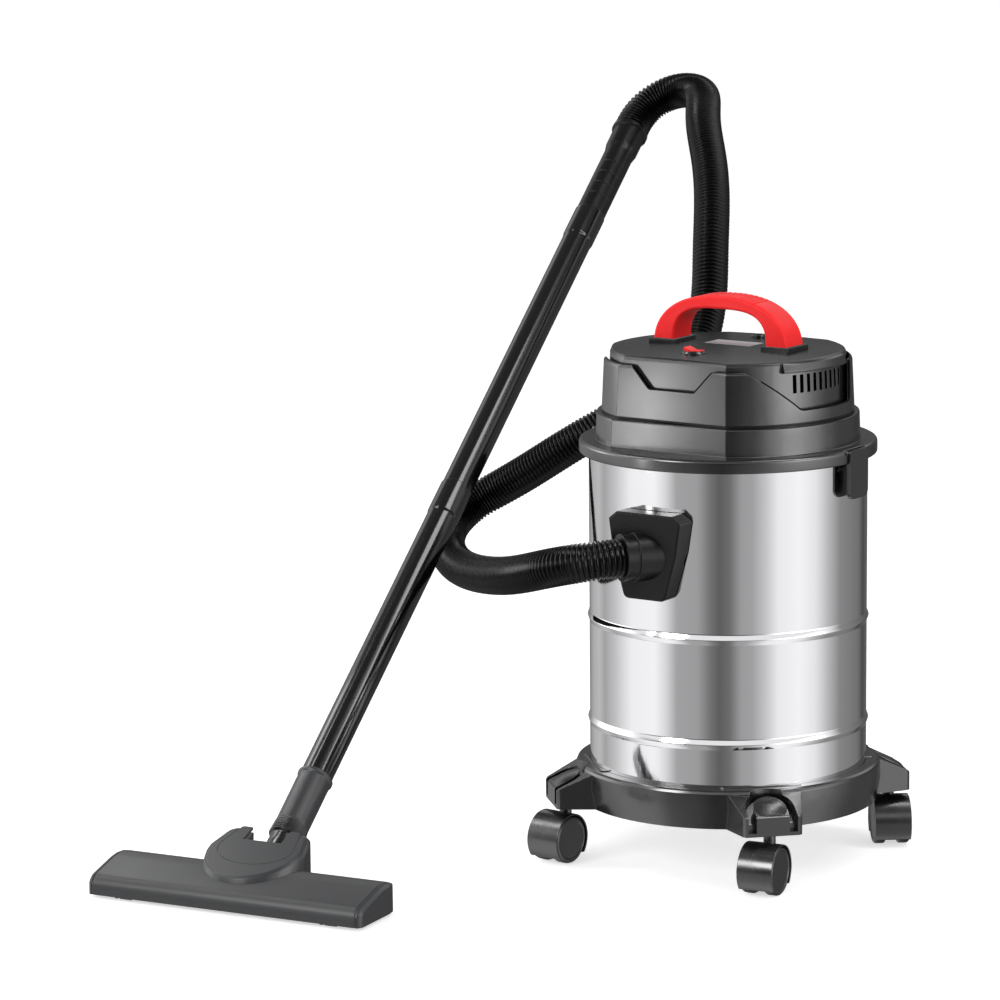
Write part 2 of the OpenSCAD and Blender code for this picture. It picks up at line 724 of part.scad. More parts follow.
module roller(s) {
    color([0.15, 0.15, 0.15]) at_wand() translate([s * roller_x, roller_y, roller_d / 2]) rotate([0, 90, 0])
        difference() {
        union() {
            cylinder(d = roller_d, h = 10, center = true);
            cylinder(d = roller_d - 5, h = 12.4, center = true);
        }
        cylinder(r = 1.5 + run, h = 20, center = true);
    }
}

module roller_pins() {
    color("silver") at_wand() {
        for (s = [-1, 1]) translate([s * roller_x, roller_y, roller_d / 2]) rotate([0, 90, 0])
            cylinder(r = 1.5, h = 17, center = true);
        at_pivot() cylinder(r = pivot_pin_r, h = barrel_l + 13, center = true);
    }
}

// The plane of the cover's top, which rises to the back from the middle of its front rim
module on_dome(up = 0) {
    translate([0, dome_y, dome_z]) rotate([dome_tilt, 0, 0]) translate([0, 0, up]) children();
}

// Outline of the cover: half an ellipse in front, narrower at the back
module dome_plan(side, front, back, r) {
    x = dome_w / 2 - side;
    polygon(rounded(concat([for (a = [180:12:360]) [x * cos(a), dome_nose + (dome_nose - front) * sin(a), 0]],
        [[x - 9, dome_l - back, r], [9 - x, dome_l - back, r]])));
}
module rim_plan(inset) {
    dome_plan(inset, inset, inset, 14 - inset);
}

// The pedal's pin, under the middle of its plate
module pedal_pin(r, end) {
    on_dome(-pedal_t / 2) translate([0, pedal_pin_y, 0]) rotate([0, 90, 0])
        cylinder(r = r, h = dome_w - 2 * pedal_inset + 2 * end, center = true);
}

// The rounded cover over the tilt joint, open at the back for the neck
module pivot_cover() {
    color([0.36, 0.36, 0.37]) at_wand() difference() {
        union() {
            hull() {
                on_dome(-0.2) linear_extrude(0.2) rim_plan(5);
                on_dome(-2) linear_extrude(0.2) rim_plan(1.8);
                on_dome(-6) linear_extrude(0.2) rim_plan(0);
                translate([0, dome_y - 1.5, pivot_z - 6]) linear_extrude(0.2) scale([1, cos(dome_tilt)])
                    rim_plan(-1.5);
            }
            at_pivot() cylinder(r = pivot_pin_r + 5, h = barrel_l + 18, center = true);
        }
        across(200) polygon(concat([[nozzle_y - 9, -20], [nozzle_y - 9, 10]], nozzle_side(-face),
            [[back_y + face, -20]]));
        pivot_space();
        on_dome(-6.5) linear_extrude(20) dome_plan(pedal_inset - pedal_gap, pedal_front - pedal_gap, -2, 0);
        pedal_pin(pedal_pin_r + run, 3);
    }
}

module brush_pedal() {
    color([0.36, 0.36, 0.37]) at_wand() difference() {
        union() {
            on_dome(-pedal_t) linear_extrude(pedal_t) dome_plan(pedal_inset, pedal_front, 0, 3);
            pedal_pin(pedal_pin_r, 2.6);
        }
        translate([-notch_w / 2, notch_y, 0]) cube([notch_w, 60, 100]);
    }
}

module brush_strips() {
    color("black") at_wand() for (y = [slot_y - brush_y, slot_y + brush_y]) {
        translate([0, y, 4.4]) linear_extrude(7) square([slot_size.x, 4], center = true);
        translate([0, y, 1.2]) linear_extrude(4) square([slot_size.x - 4, 3], center = true);
    }
}

// ---- head ----

module tank_seal() {
    color([0.1, 0.1, 0.1]) translate([0, 0, pan_z - seal_t]) difference() {
        cylinder(r = tank_r + 4, h = seal_t);
        translate([0, 0, -1]) cylinder(r = tank_r - 3, h = seal_t + 2);
    }
}

module head_base() {
    color([0.33, 0.33, 0.34]) difference() {
        union() {
            rotate_extrude() polygon([[0, pan_z], [tank_r - 3.4, pan_z], [tank_r - 3.4, pan_z - 14],
                [tank_r - 1.8, pan_z - 14],
                [tank_r - 1.8, pan_z - seal_t - 1], [tank_r - 3, pan_z - seal_t], [tank_r - 3, pan_z],
                [tank_r + 5.5, pan_z], [tank_r + 5.5, flange_z], [flange_r - 1, flange_z],
                [flange_r, flange_z + 1],
                [flange_r, band_z - 3], [flange_r - 0.9, band_z - 0.9], [flange_r - 3, band_z], [0, band_z]]);
            difference() {
                head_form([[band_r, band_z - 1], [band_r - 1, shell_z - 1], [band_r - 2, shell_z]]);
                head_form([[band_r - head_wall, band_z - 2], [band_r - head_wall - 1, shell_z - head_wall]]);
            }
            translate([0, 0, pan_z]) cylinder(r = fan_r + 12, h = 5);
        }
        translate([0, 0, band_z - 2]) cylinder(r = shell_r - 18, h = 60);
        translate([0, 0, pan_z - 20]) cylinder(r = intake_r, h = 40);
        both_sides() box([30, latch_w + 2 * latch_gap, 60], [notch_x + 15, 0, flange_z - 20]);
        both_sides() at_latch_pin() cylinder(d = latch_pin_d + 2 * face, h = latch_w + 8, center = true);
        for (a = [45:90:315]) rotate(a) translate([head_screw_r, 0, pan_z - 1]) cylinder(r = 2 + face, h = 4);
    }
}

// Cut-outs in the middle shell's upper edge, above its parting line
module parting_line() {
    top = shell_z + shell_h;
    rotate([90, 0, 0]) linear_extrude(400, center = true) polygon(rounded([[-66, top + 20, 0],
        [-50, top + 20, 0],
        [-50, top, 5], [-28, dip_z, 5], [28, dip_z, 5], [50, top, 5], [50, top + 20, 0], [66, top + 20, 0],
        [66, top + 40, 0], [-66, top + 40, 0]]));
}
// The right side as given, and the left one further back
module each_side() {
    children();
    mirror([1, 0, 0]) rotate(left_turn) children();
}
module side_parting_line() {
    top = shell_z + shell_h;
    translate([70, 0, 0]) rotate([90, 0, 90]) linear_extrude(100)
        polygon(rounded([[-104, top + 20, 0], [-104, top, 6],
        [-55, side_dip_z, 8], [32, side_dip_z, 4], [38, top + 1, 0], [38, top + 20, 0]]));
}

module head_shell() {
    top = shell_z + shell_h;
    color([0.34, 0.34, 0.35]) difference() {
        union() {
            head_form([[shell_r, shell_z + step_h], [at_height(shell_r, top - 3), top - 3],
                [at_height(shell_r, top) - 1, top - 0.8], [at_height(shell_r, top) - 2, top]]);
            head_form([[shell_r - 1.4, shell_z], [shell_r - 1.4, shell_z + step_h + 1]]);
        }
        head_form([[shell_r - head_wall, shell_z - 1], [at_height(shell_r - head_wall, top + 1), top + 1]]);
        parting_line();
        each_side() side_parting_line();
    }
}

module vents() {
    for (k = [0:vent_count - 1]) rotate(vent_start + vent_pitch * k - 90)
        translate([cap_r - 10, -vent_w / 2, vent_z]) cube([20, vent_w, vent_h]);
}

// The lip that shades the vents
module visor() {
    r = at_height(cap_r, deck_z - 12);
    rotate(vent_start - 7 - 90) rotate_extrude(angle = vent_pitch * (vent_count - 1) + 11)
        polygon([[r - 2, deck_z - 12],
        [r + 6, deck_z - 11], [r + 6.5, deck_z - 9], [r + 3.5, deck_z - 2], [r + 1.5, deck_z],
        [r - 2, deck_z]]);
}

module head_cap() {
    color([0.36, 0.36, 0.37]) difference() {
        union() {
            head_form([[cap_r, shell_z], [at_height(cap_r, deck_z - 3.5), deck_z - 3.5],
                [at_height(cap_r, deck_z) - 1.2, deck_z - 1], [at_height(cap_r, deck_z) - 3.5, deck_z]],
                deck_crown);
            each_side() visor();
        }
        head_form([[cap_r - head_wall, shell_z - 1],
            [at_height(cap_r, deck_z) - head_wall, deck_z - head_wall]]);
        each_side() vents();
        for (s = [-1, 1]) box([foot_w + 2 * bezel_rim, handle_depth + 2 * bezel_rim, 20] + [gap, gap, 0],
            [s * foot_x, 0, seat_z]);
        box(label_size + [gap, gap, 10], [0, label_y, seat_z + 1]);
        translate([0, switch_y, seat_z - 1.2]) cylinder(r = switch_r + gap / 2, h = 20);
        translate([0, gland_y, deck_z - 10]) cylinder(r = gland_r - 2 + face, h = 30);
    }
}

// Points of the handle's arch: outside and inside curves, from the right foot over to the left one
function arch(a, b, power, t) = [a * sign(cos(t)) * pow(abs(cos(t)), 2 / power), b * pow(sin(t), 2 / power)];
function bar(t, depth, r) = rounded([[t / 2, -depth / 2, r], [t / 2, depth / 2, r], [-t / 2, depth / 2, r],
    [-t / 2, -depth / 2, r]]);

module handle() {
    steps = 30;
    edge_r = 3;
    around = len(bar(foot_w, handle_depth, edge_r));
    base = seat_z;
    rise = bezel_h + handle_h - 3;
    outer = [for (i = [0:steps]) arch(handle_l / 2, rise, 2.25, 180 * i / steps)];
    inner = [for (i = [0:steps]) arch(handle_l / 2 - foot_w, rise - grip_t, 3.2, 180 * i / steps)];
    points = [for (i = [0:steps]) let (mid = (outer[i] + inner[i]) / 2, dir = unit(outer[i] - inner[i]))
        each [for (p = bar(norm(outer[i] - inner[i]), handle_depth, edge_r))
            [mid.x + dir.x * p.x, p.y, base + mid.y + dir.y * p.x]]];
    color("red") polyhedron(points, skin(steps + 1, around), convexity = 6);
}

module handle_bezels() {
    color([0.12, 0.12, 0.12]) for (s = [-1, 1]) difference() {
        box([foot_w + 2 * bezel_rim, handle_depth + 2 * bezel_rim, bezel_h], [s * foot_x, 0, seat_z]);
        box([foot_w + gap, handle_depth + gap, 20], [s * foot_x, 0, seat_z - 1]);
    }
}

module switch_bezel() {
    color([0.1, 0.1, 0.1]) difference() {
        translate([0, switch_y, seat_z - 1.2]) rotate_extrude()
            polygon([[0, 0], [switch_r, 0], [switch_r, 3.4], [switch_r - 1.6, 5.4],
            [switch_r - 3, 5.4], [0, 5.4]]);
        box([rocker_size.x + 1.6, rocker_size.y + 0.8, 20], [0, switch_y, seat_z - 0.4]);
        translate([0, switch_y, seat_z + 2.4]) rotate([90, 0, 0])
            cylinder(r = 1.2 + run, h = rocker_size.y + 5, center = true);
    }
}

module switch_rocker() {
    x = rocker_size.x / 2;
    color("red") translate([0, switch_y, seat_z + 2.4]) rotate([0, 10, 0]) {
        rotate([90, 0, 0]) linear_extrude(rocker_size.y, center = true)
            polygon([[-x, 0.4], [-x, 4], [0, 2.2], [x, 4], [x, 0.4], [3, -1.4], [-3, -1.4]]);
        rotate([90, 0, 0]) cylinder(r = 1.2, h = rocker_size.y + 4, center = true);
    }
}

module label_plate() {
    color("silver") box(label_size, [0, label_y, seat_z + 1]);
}

module cord_gland() {
    color([0.08, 0.08, 0.08]) translate([0, gland_y, 0]) difference() {
        union() {
            translate([0, 0, deck_z - 8]) cylinder(r = gland_r - 2, h = 14);
            translate([0, 0, deck_z + deck_crown]) cylinder(r = gland_r, h = 2.5);
        }
        translate([0, 0, deck_z - 20]) cylinder(r = 4, h = 40);
    }
}

module at_latch_pin() {
    translate([latch_pin_x, 0, latch_pin_z]) rotate([90, 0, 0]) children();
}

// The latch on the +X side hangs from its pin in the flange's notch, with its hook just outside the tank's rim
module latch() {
    top = latch_pin_z + latch_t / 2;
    hook_x = tank_r + rim_rise + gap;
    hook_z = rim_z - 9;
    color([0.36, 0.36, 0.37]) difference() {
        union() {
            translate([latch_x, 0, top]) rotate([90, 0, 90]) linear_extrude(latch_t)
                polygon(rounded([[-latch_w / 2, 0, 2], [-latch_w / 2, -latch_l, 8],
                    [latch_w / 2, -latch_l, 8], [latch_w / 2, 0, 2]]));
            at_latch_pin() cylinder(d = latch_t, h = latch_w - 2, center = true);
            rotate([90, 0, 0]) linear_extrude(latch_w - 8, center = true) polygon([[latch_x + 1, hook_z],
                [hook_x, hook_z - 1], [hook_x, hook_z - 5], [latch_x + 1, hook_z - 10]]);
        }
        at_latch_pin() cylinder(d = latch_pin_d + 2 * run, h = latch_w + 2, center = true);
    }
}

module latch_left() {
    mirror([1, 0, 0]) latch();
}

module latch_right() {
    latch();
}

module latch_pins() {
    color("silver") both_sides() at_latch_pin() cylinder(d = latch_pin_d, h = latch_w + 6, center = true);
}

// ---- motor, float and filter ----

module motor_seal() {
    color([0.1, 0.1, 0.1]) translate([0, 0, motor_z]) difference() {
        cylinder(r = fan_r + 5, h = 3);
        translate([0, 0, -1]) cylinder(r = intake_r + 4, h = 5);
    }
}

module motor_housing() {
    z = motor_z + 3;
    color([0.25, 0.25, 0.27]) difference() {
        rotate_extrude() polygon([[intake_r, z], [fan_r + 5, z], [fan_r + 5, z + 20], [fan_r, z + 24],
            [can_r, z + 24],
            [can_r, z + 74], [can_r - 4, z + 78], [12, z + 80], [12, z + 84], [4 + run, z + 84],
            [4 + run, z + 76], [10, z + 74],
            [can_r - 7, z + 72], [can_r - 3, z + 68], [can_r - 3, z + 26], [30, z + 26], [30, z + 22],
            [fan_r + 1, z + 22],
            [fan_r + 2, z + 2], [intake_r, z + 2]]);
        for (a = [0:45:315]) rotate(a) translate([can_r - 6, -5, z + 50]) cube([12, 10, 14]);
    }
}

module motor_rotor() {
    z = motor_z + 3;
    color("silver") rotate_extrude() polygon([[0, z + 3], [4, z + 3], [4, z + 30], [24, z + 31], [24, z + 58],
        [14, z + 60],
        [14, z + 70], [4, z + 71], [4, z + 82], [0, z + 82]]);
}

// Two discs with curved blades between them
module motor_fan() {
    z = motor_z + 3;
    color("lightgray") difference() {
        union() {
            translate([0, 0, z + 16]) cylinder(r = fan_r - 2, h = 1.5);
            translate([0, 0, z + 4]) cylinder(r = 8, h = 13);
            difference() {
                translate([0, 0, z + 4]) cylinder(r = fan_r - 2, h = 1.5);
                translate([0, 0, z + 3]) cylinder(r = intake_r, h = 4);
            }
            for (a = [0:40:320]) rotate(a) intersection() {
                translate([26, -22, z + 5]) difference() {
                    cylinder(r = 34, h = 11.5);
                    translate([0, 0, -1]) cylinder(r = 32.6, h = 14);
                }
                translate([0, 0, z + 5]) difference() {
                    cylinder(r = fan_r - 2.5, h = 11.5);
                    translate([0, 0, -1]) cylinder(r = 16, h = 14);
                }
                translate([0, 0, z]) cube([60, 60, 30]);
            }
        }
        translate([0, 0, z]) cylinder(r = 4 + face, h = 30);
    }
}

module float_cage() {
    bottom = pan_z - cage_l;
    color([0.25, 0.25, 0.25]) {
        difference() {
            translate([0, 0, bottom]) union() {
                cylinder(r = cage_r, h = cage_l);
                translate([0, 0, cage_l - 3]) cylinder(r = cage_r + 9, h = 3);
            }
            translate([0, 0, bottom + 2.5]) cylinder(r = cage_r - 2.5, h = cage_l);
            for (a = [0:30:330]) rotate(a) translate([cage_r - 6, -7, bottom + 8]) cube([12, 14, cage_l - 20]);
        }
        for (a = [15:90:285]) rotate(a) translate([guide_r, -1.2, bottom + 2])
            cube([cage_r - guide_r - 1, 2.4, cage_l - 5]);
    }
}

module float_cup() {
    r = float_r;
    color("orange") translate([0, 0, pan_z - cage_l + 2.5 + gap]) rotate_extrude()
        polygon([[r - 4, 0], [r - 1, 0], [r, 2],
        [r, 36], [r - 3, 40], [0, 40], [0, 37], [r - 4, 35]]);
}

module foam_filter() {
    bottom = pan_z - cage_l;
    color("dimgray") difference() {
        translate([0, 0, bottom - 10]) cylinder(r = cage_r + 10, h = cage_l + 10 - 3 - gap);
        translate([0, 0, bottom - gap]) cylinder(r = cage_r + gap, h = cage_l);
    }
}

module head_screws() {
    color("silver") for (a = [45:90:315]) rotate(a) translate([head_screw_r, 0, pan_z]) {
        cylinder(r = 2, h = 3);
        translate([0, 0, -2.4]) cylinder(r = 4, h = 2.4);
    }
}

tank_shell();
base_ring();
boss_caps();
base_screws();
caster_hood(0);  // caster_front_left_hood
caster_pins(0);  // caster_front_left_pins
caster_wheel(0, 1);  // caster_front_left_wheel_a
caster_wheel(0, -1);  // caster_front_left_wheel_b
caster_hood(1);  // caster_front_right_hood
caster_pins(1);  // caster_front_right_pins
caster_wheel(1, 1);  // caster_front_right_wheel_a
caster_wheel(1, -1);  // caster_front_right_wheel_b
caster_hood(2);  // caster_rear_left_hood
caster_pins(2);  // caster_rear_left_pins
caster_wheel(2, 1);  // caster_rear_left_wheel_a
caster_wheel(2, -1);  // caster_rear_left_wheel_b
caster_hood(3);  // caster_rear_right_hood
caster_pins(3);  // caster_rear_right_pins
caster_wheel(3, 1);  // caster_rear_right_wheel_a
caster_wheel(3, -1);  // caster_rear_right_wheel_b
inlet_housing();
inlet_gasket();
hose_connector();
hose();
wand_cuff();
wand_upper_tube();
wand_lower_tube();
neck_cuff();
neck_swivel();
nozzle_shell();
nozzle_end_caps();
nozzle_sole();
pivot_cover();
brush_pedal();
brush_strips();
roller(-1);  // roller_left
roller(1);  // roller_right
roller_pins();
tank_seal();
head_base();
head_shell();
head_cap();
handle();
handle_bezels();
switch_bezel();
switch_rocker();
label_plate();
cord_gland();
latch_left();
latch_right();
latch_pins();
motor_seal();
motor_housing();
motor_rotor();
motor_fan();
float_cage();
float_cup();
foam_filter();
head_screws();
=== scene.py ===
"""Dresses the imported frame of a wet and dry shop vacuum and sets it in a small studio.

Lengths of the vacuum are in millimetres and those of the studio in metres, in the frame's own axes:
Z up, -Y to the hose inlet, origin on the floor under the tank's axis. Meshes are made in metres.
"""

import json
import logging
import math
from dataclasses import dataclass, field
from enum import Enum

import bmesh
import bpy
from mathutils import Matrix, Vector


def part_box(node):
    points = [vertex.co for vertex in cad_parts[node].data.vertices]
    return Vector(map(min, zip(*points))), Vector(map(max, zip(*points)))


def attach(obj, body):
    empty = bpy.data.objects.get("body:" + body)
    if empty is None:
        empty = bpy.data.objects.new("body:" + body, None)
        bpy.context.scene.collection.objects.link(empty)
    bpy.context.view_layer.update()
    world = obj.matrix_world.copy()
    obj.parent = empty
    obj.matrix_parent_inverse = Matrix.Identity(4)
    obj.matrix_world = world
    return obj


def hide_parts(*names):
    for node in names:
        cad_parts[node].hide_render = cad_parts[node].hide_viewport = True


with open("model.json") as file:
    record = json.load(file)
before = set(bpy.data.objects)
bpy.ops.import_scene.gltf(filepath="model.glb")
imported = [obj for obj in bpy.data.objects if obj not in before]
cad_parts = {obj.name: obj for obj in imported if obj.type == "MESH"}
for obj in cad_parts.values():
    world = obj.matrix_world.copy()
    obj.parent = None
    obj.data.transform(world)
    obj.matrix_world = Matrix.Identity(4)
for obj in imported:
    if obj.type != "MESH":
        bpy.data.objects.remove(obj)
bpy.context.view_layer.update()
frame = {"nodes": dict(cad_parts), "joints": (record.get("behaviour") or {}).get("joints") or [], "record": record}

LOG = logging.getLogger("shop_vacuum")
MM = 0.001
SAME = 1e-6  # corners of a new mesh nearer than this are one, in metres
WELD = 2e-6  # the same for a node's mesh
FLAT = 0.8  # faces that differ by fewer degrees than this become one
HARD = 20.0  # edges sharper than this many degrees are rounded
WIDTHS = (1.0, 0.85, 0.7, 0.55, 0.4, 0.3, 0.2, 0.1)  # shares of a rounding that are tried in turn
FOLDED = 0.0004  # share of a piece's area that may fold over itself when its edges are rounded
NOISE_REACH = (0.25, 0.75)  # nearly all of a noise lies between these
WAVE_TURN = 20.0  # radians that a wave turns over one unit of its scale
WHITE = "FFFFFF"
Points = list[tuple[float, float, float]]
Profile = list[tuple[float, float]]
Faces = list[tuple[int, ...]]


class Slot(Enum):
    """Material slots of the record."""

    STEEL = "polished_steel"
    PLATED = "plated_steel"
    DARK = "dark_plastic"
    SMOOTH = "smooth_plastic"
    BLACK = "black_plastic"
    RED = "red_plastic"
    PLATE = "grey_plate"
    TUBE = "tube_enamel"
    HOSE = "hose_plastic"
    SEAL = "seal_rubber"
    ROLLER = "roller_rubber"
    FOAM = "filter_foam"
    BRUSH = "brush_bristle"
    FAN = "fan_aluminium"
    FLOAT = "float_plastic"


# ---- finishes ----


def linear(code: str) -> tuple[float, float, float, float]:
    """Turn an sRGB hex colour into the linear values that a shader takes.

    Args:
        code: six hex digits.

    Returns:
        Red, green, blue and an alpha of one.
    """
    parts = [int(code[i : i + 2], 16) / 255 for i in (0, 2, 4)]
    red, green, blue = (
        c / 12.92 if c <= 0.04045 else ((c + 0.055) / 1.055) ** 2.4 for c in parts
    )
    return red, green, blue, 1.0


def add(
    tree: bpy.types.NodeTree,
    kind: str,
    settings: dict | None = None,
    links: dict | None = None,
) -> bpy.types.Node:
    """Add a node with its settings and its incoming links.

    Args:
        tree: the node tree.
        kind: the node's type name.
        settings: values of inputs, by input name or number, or of the node's own properties.
        links: output sockets, by the name or number of the input that they feed.

    Returns:
        The new node.
    """
    node = tree.nodes.new(kind)
    for key, value in (settings or {}).items():
        if isinstance(key, int) or key in node.inputs:
            node.inputs[key].default_value = value
        else:
            setattr(node, key, value)
    for key, source in (links or {}).items():
        tree.links.new(source, node.inputs[key])
    return node


@dataclass(frozen=True)
class Pattern:
    """An irregular pattern in a piece's own axes."""

    size: float  # of one feature, in millimetres
    detail: float = 2.0  # finer layers that lie on it
    stretch: tuple[float, float, float] = (1.0, 1.0, 1.0)  # below one, it is drawn out along the axis


@dataclass(frozen=True)
class Finish:
    """A surface: what it is made of, and what its making left in it."""

    name: str
    slot: Slot
    colour: str
    roughness: float
    ior: float = 1.5
    metallic: float = 0.0
    lustre: float = 0.5  # share of its facing reflection; one half is what its IOR gives
    coat: float = 0.0  # weight of a clear coat
    coat_roughness: float = 0.06
    relief: Pattern | None = None  # what stands out of the surface
    depth: float = 0.0  # how far it stands out, in millimetres
    shown: float = 1.0  # how much of that shows
    sheen: Pattern | None = None  # where the roughness drifts
    duller: tuple[float, float] = (0.0, 0.0)  # what the drift adds where it is least and most
    drift: Pattern | None = None  # where the colour drifts
    other: str = "000000"  # the colour that it drifts to

    def material(self) -> bpy.types.Material:
        """Build this finish's material on first use.

        Returns:
            The material.
        """
        found = bpy.data.materials.get(self.name)
        if found:
            return found
        made = bpy.data.materials.new(self.name)
        made.use_nodes = True
        tree = made.node_tree
        shader = tree.nodes["Principled BSDF"]
        shader.inputs["Base Color"].default_value = linear(self.colour)
        shader.inputs["Roughness"].default_value = self.roughness
        shader.inputs["Metallic"].default_value = self.metallic
        if not self.metallic:
            shader.inputs["IOR"].default_value = self.ior
            shader.inputs["Specular IOR Level"].default_value = self.lustre
        if self.coat:
            shader.inputs["Coat Weight"].default_value = self.coat
            shader.inputs["Coat Roughness"].default_value = self.coat_roughness
        self.texture(tree, shader)
        return made

    def heights(self, tree: bpy.types.NodeTree) -> bpy.types.NodeSocket | None:
        """Return a relief with a pattern of its own, if the finish has one."""
        return None

    def texture(self, tree: bpy.types.NodeTree, shader: bpy.types.Node) -> None:
        """Add what the making left in the surface.

        Args:
            tree: the node tree.
            shader: the surface shader.
        """
        values = {"relief": self.heights(tree)}
        patterns = {"relief": self.relief, "sheen": self.sheen, "drift": self.drift}
        for part, pattern in patterns.items():
            if pattern is None:
                continue
            place = add(tree, "ShaderNodeTexCoord")
            scaled = add(
                tree,
                "ShaderNodeMapping",
                {"Scale": pattern.stretch},
                {"Vector": place.outputs["Object"]},
            )
            noise = add(
                tree,
                "ShaderNodeTexNoise",
                {"Scale": 1 / (pattern.size * MM), "Detail": pattern.detail},
                {"Vector": scaled.outputs["Vector"]},
            )
            values[part] = noise.outputs["Fac"]
        if values["relief"]:
            bump = add(
                tree,
                "ShaderNodeBump",
                {"Distance": self.depth * MM, "Strength": self.shown},
                {"Height": values["relief"]},
            )
            tree.links.new(bump.outputs["Normal"], shader.inputs["Normal"])
        if self.sheen:
            least, most = self.duller
            reach = add(
                tree,
                "ShaderNodeMapRange",
                {
                    "interpolation_type": "SMOOTHSTEP",
                    "From Min": NOISE_REACH[0],
                    "From Max": NOISE_REACH[1],
                    "To Min": self.roughness + least,
                    "To Max": self.roughness + most,
                },
                {"Value": values["sheen"]},
            )
            tree.links.new(reach.outputs["Result"], shader.inputs["Roughness"])
        if self.drift:  # inputs 0, 6 and 7 are the share and the two colours
            mix = add(
                tree,
                "ShaderNodeMix",
                {"data_type": "RGBA", 6: linear(self.colour), 7: linear(self.other)},
                {0: values["drift"]},
            )
            tree.links.new(mix.outputs[2], shader.inputs["Base Color"])


@dataclass(frozen=True)
class SparkTexturedABS(Finish):
    """Injection moulded ABS from a spark-eroded mould: a fine grain that spreads the highlights."""

    # A spark texture is about 0.2 mm, and is drawn coarser so that it shows.
    relief: Pattern | None = Pattern(1.1, 3.0)
    depth: float = 0.012
    shown: float = 0.5
    sheen: Pattern | None = Pattern(38.0, 1.0)
    duller: tuple[float, float] = (-0.012, 0.012)
    drift: Pattern | None = Pattern(60.0, 1.0)
    other: str = "131314"


@dataclass(frozen=True)
class PolishedStainless(Finish):
    """Rolled stainless sheet, polished to a mirror: sharp reflections and faint upright haze."""

    # Polishing lines are finer, and are drawn as wide as the streaks that they gather into.
    sheen: Pattern | None = Pattern(3.0, 3.0, (1.0, 1.0, 0.02))
    duller: tuple[float, float] = (0.0, 0.05)


@dataclass(frozen=True)
class StovedEnamel(Finish):
    """Steel tube with stoved black enamel: a hard clear gloss over a faint orange-peel ripple."""

    coat: float = 0.5
    relief: Pattern | None = Pattern(3.5, 1.0)
    depth: float = 0.02
    shown: float = 0.3


@dataclass(frozen=True)
class BlownPolyethylene(Finish):
    """Blow-moulded polyethylene: a waxy skin of uneven sheen, with long soft glints on its ribs."""

    relief: Pattern | None = Pattern(2.0)
    depth: float = 0.03
    shown: float = 0.3
    sheen: Pattern | None = Pattern(9.0)
    duller: tuple[float, float] = (-0.05, 0.07)


@dataclass(frozen=True)
class MouldedPolypropylene(Finish):
    """Polypropylene from a smooth mould: a soft shine with slight flow marks over a fine skin."""

    # The skin is finer than this, and is drawn coarser so that it shows.
    relief: Pattern | None = Pattern(1.2)
    depth: float = 0.02
    shown: float = 0.3
    sheen: Pattern | None = Pattern(22.0, 2.0, (1.0, 1.0, 0.4))
    duller: tuple[float, float] = (-0.04, 0.04)


@dataclass(frozen=True)
class ZincPlated(Finish):
    """Bright zinc on turned steel: a pale metal whose lustre is patchy from the plating bath."""

    sheen: Pattern | None = Pattern(4.0, 3.0)
    duller: tuple[float, float] = (-0.06, 0.1)


@dataclass(frozen=True)
class SpunAluminium(Finish):
    """Pressed and spun aluminium: fine rings from the lathe."""

    depth: float = 0.05
    shown: float = 0.4
    # A lathe's rings are under 0.5 mm apart, and are drawn coarser so that they show.
    spacing: float = 5.236
    wobble: float = 0.4

    def heights(self, tree: bpy.types.NodeTree) -> bpy.types.NodeSocket | None:
        """Add rings about the upright axis.

        Args:
            tree: the node tree.

        Returns:
            Their height.
        """
        place = add(tree, "ShaderNodeTexCoord")
        turning = {
            "wave_type": "RINGS",
            "rings_direction": "Z",
            "Scale": math.tau / (WAVE_TURN * self.spacing * MM),
            "Distortion": self.wobble,
        }
        rings = add(
            tree, "ShaderNodeTexWave", turning, {"Vector": place.outputs["Object"]}
        )
        return rings.outputs["Fac"]


@dataclass(frozen=True)
class VulcanisedRubber(Finish):
    """Moulded rubber: nearly matt, with a bloom that pales it in patches over a fine skin."""

    relief: Pattern | None = Pattern(1.0)
    depth: float = 0.06
    shown: float = 0.5
    drift: Pattern | None = Pattern(12.0, 3.0)
    other: str = "1C1C1D"


@dataclass(frozen=True)
class OpenCellFoam(Finish):
    """Cut reticulated foam: dark open cells about two millimetres across."""

    cell: float = 2.0
    depth: float = 0.9
    shown: float = 0.9

    def heights(self, tree: bpy.types.NodeTree) -> bpy.types.NodeSocket | None:
        """Add the open cells.

        Args:
            tree: the node tree.

        Returns:
            Their height.
        """
        place = add(tree, "ShaderNodeTexCoord")
        cells = add(
            tree,
            "ShaderNodeTexVoronoi",
            {"Scale": 1 / (self.cell * MM)},
            {"Vector": place.outputs["Object"]},
        )
        return cells.outputs["Distance"]


@dataclass(frozen=True)
class NylonBristle(Finish):
    """Packed nylon filaments, which run up and down."""

    # Filaments are about 0.2 mm thick, and are drawn thicker so that they show.
    relief: Pattern | None = Pattern(0.8, 1.0, (1.0, 1.0, 0.05))
    depth: float = 0.5
    shown: float = 0.9


@dataclass(frozen=True)
class BlankFoil(Finish):
    """Blank satin foil plate, rolled: fine lines across it."""

    # Rolling lines are about 0.1 mm apart, and are drawn coarser so that they show.
    relief: Pattern | None = Pattern(0.7, 2.0, (0.05, 1.0, 1.0))
    depth: float = 0.02
    shown: float = 0.4


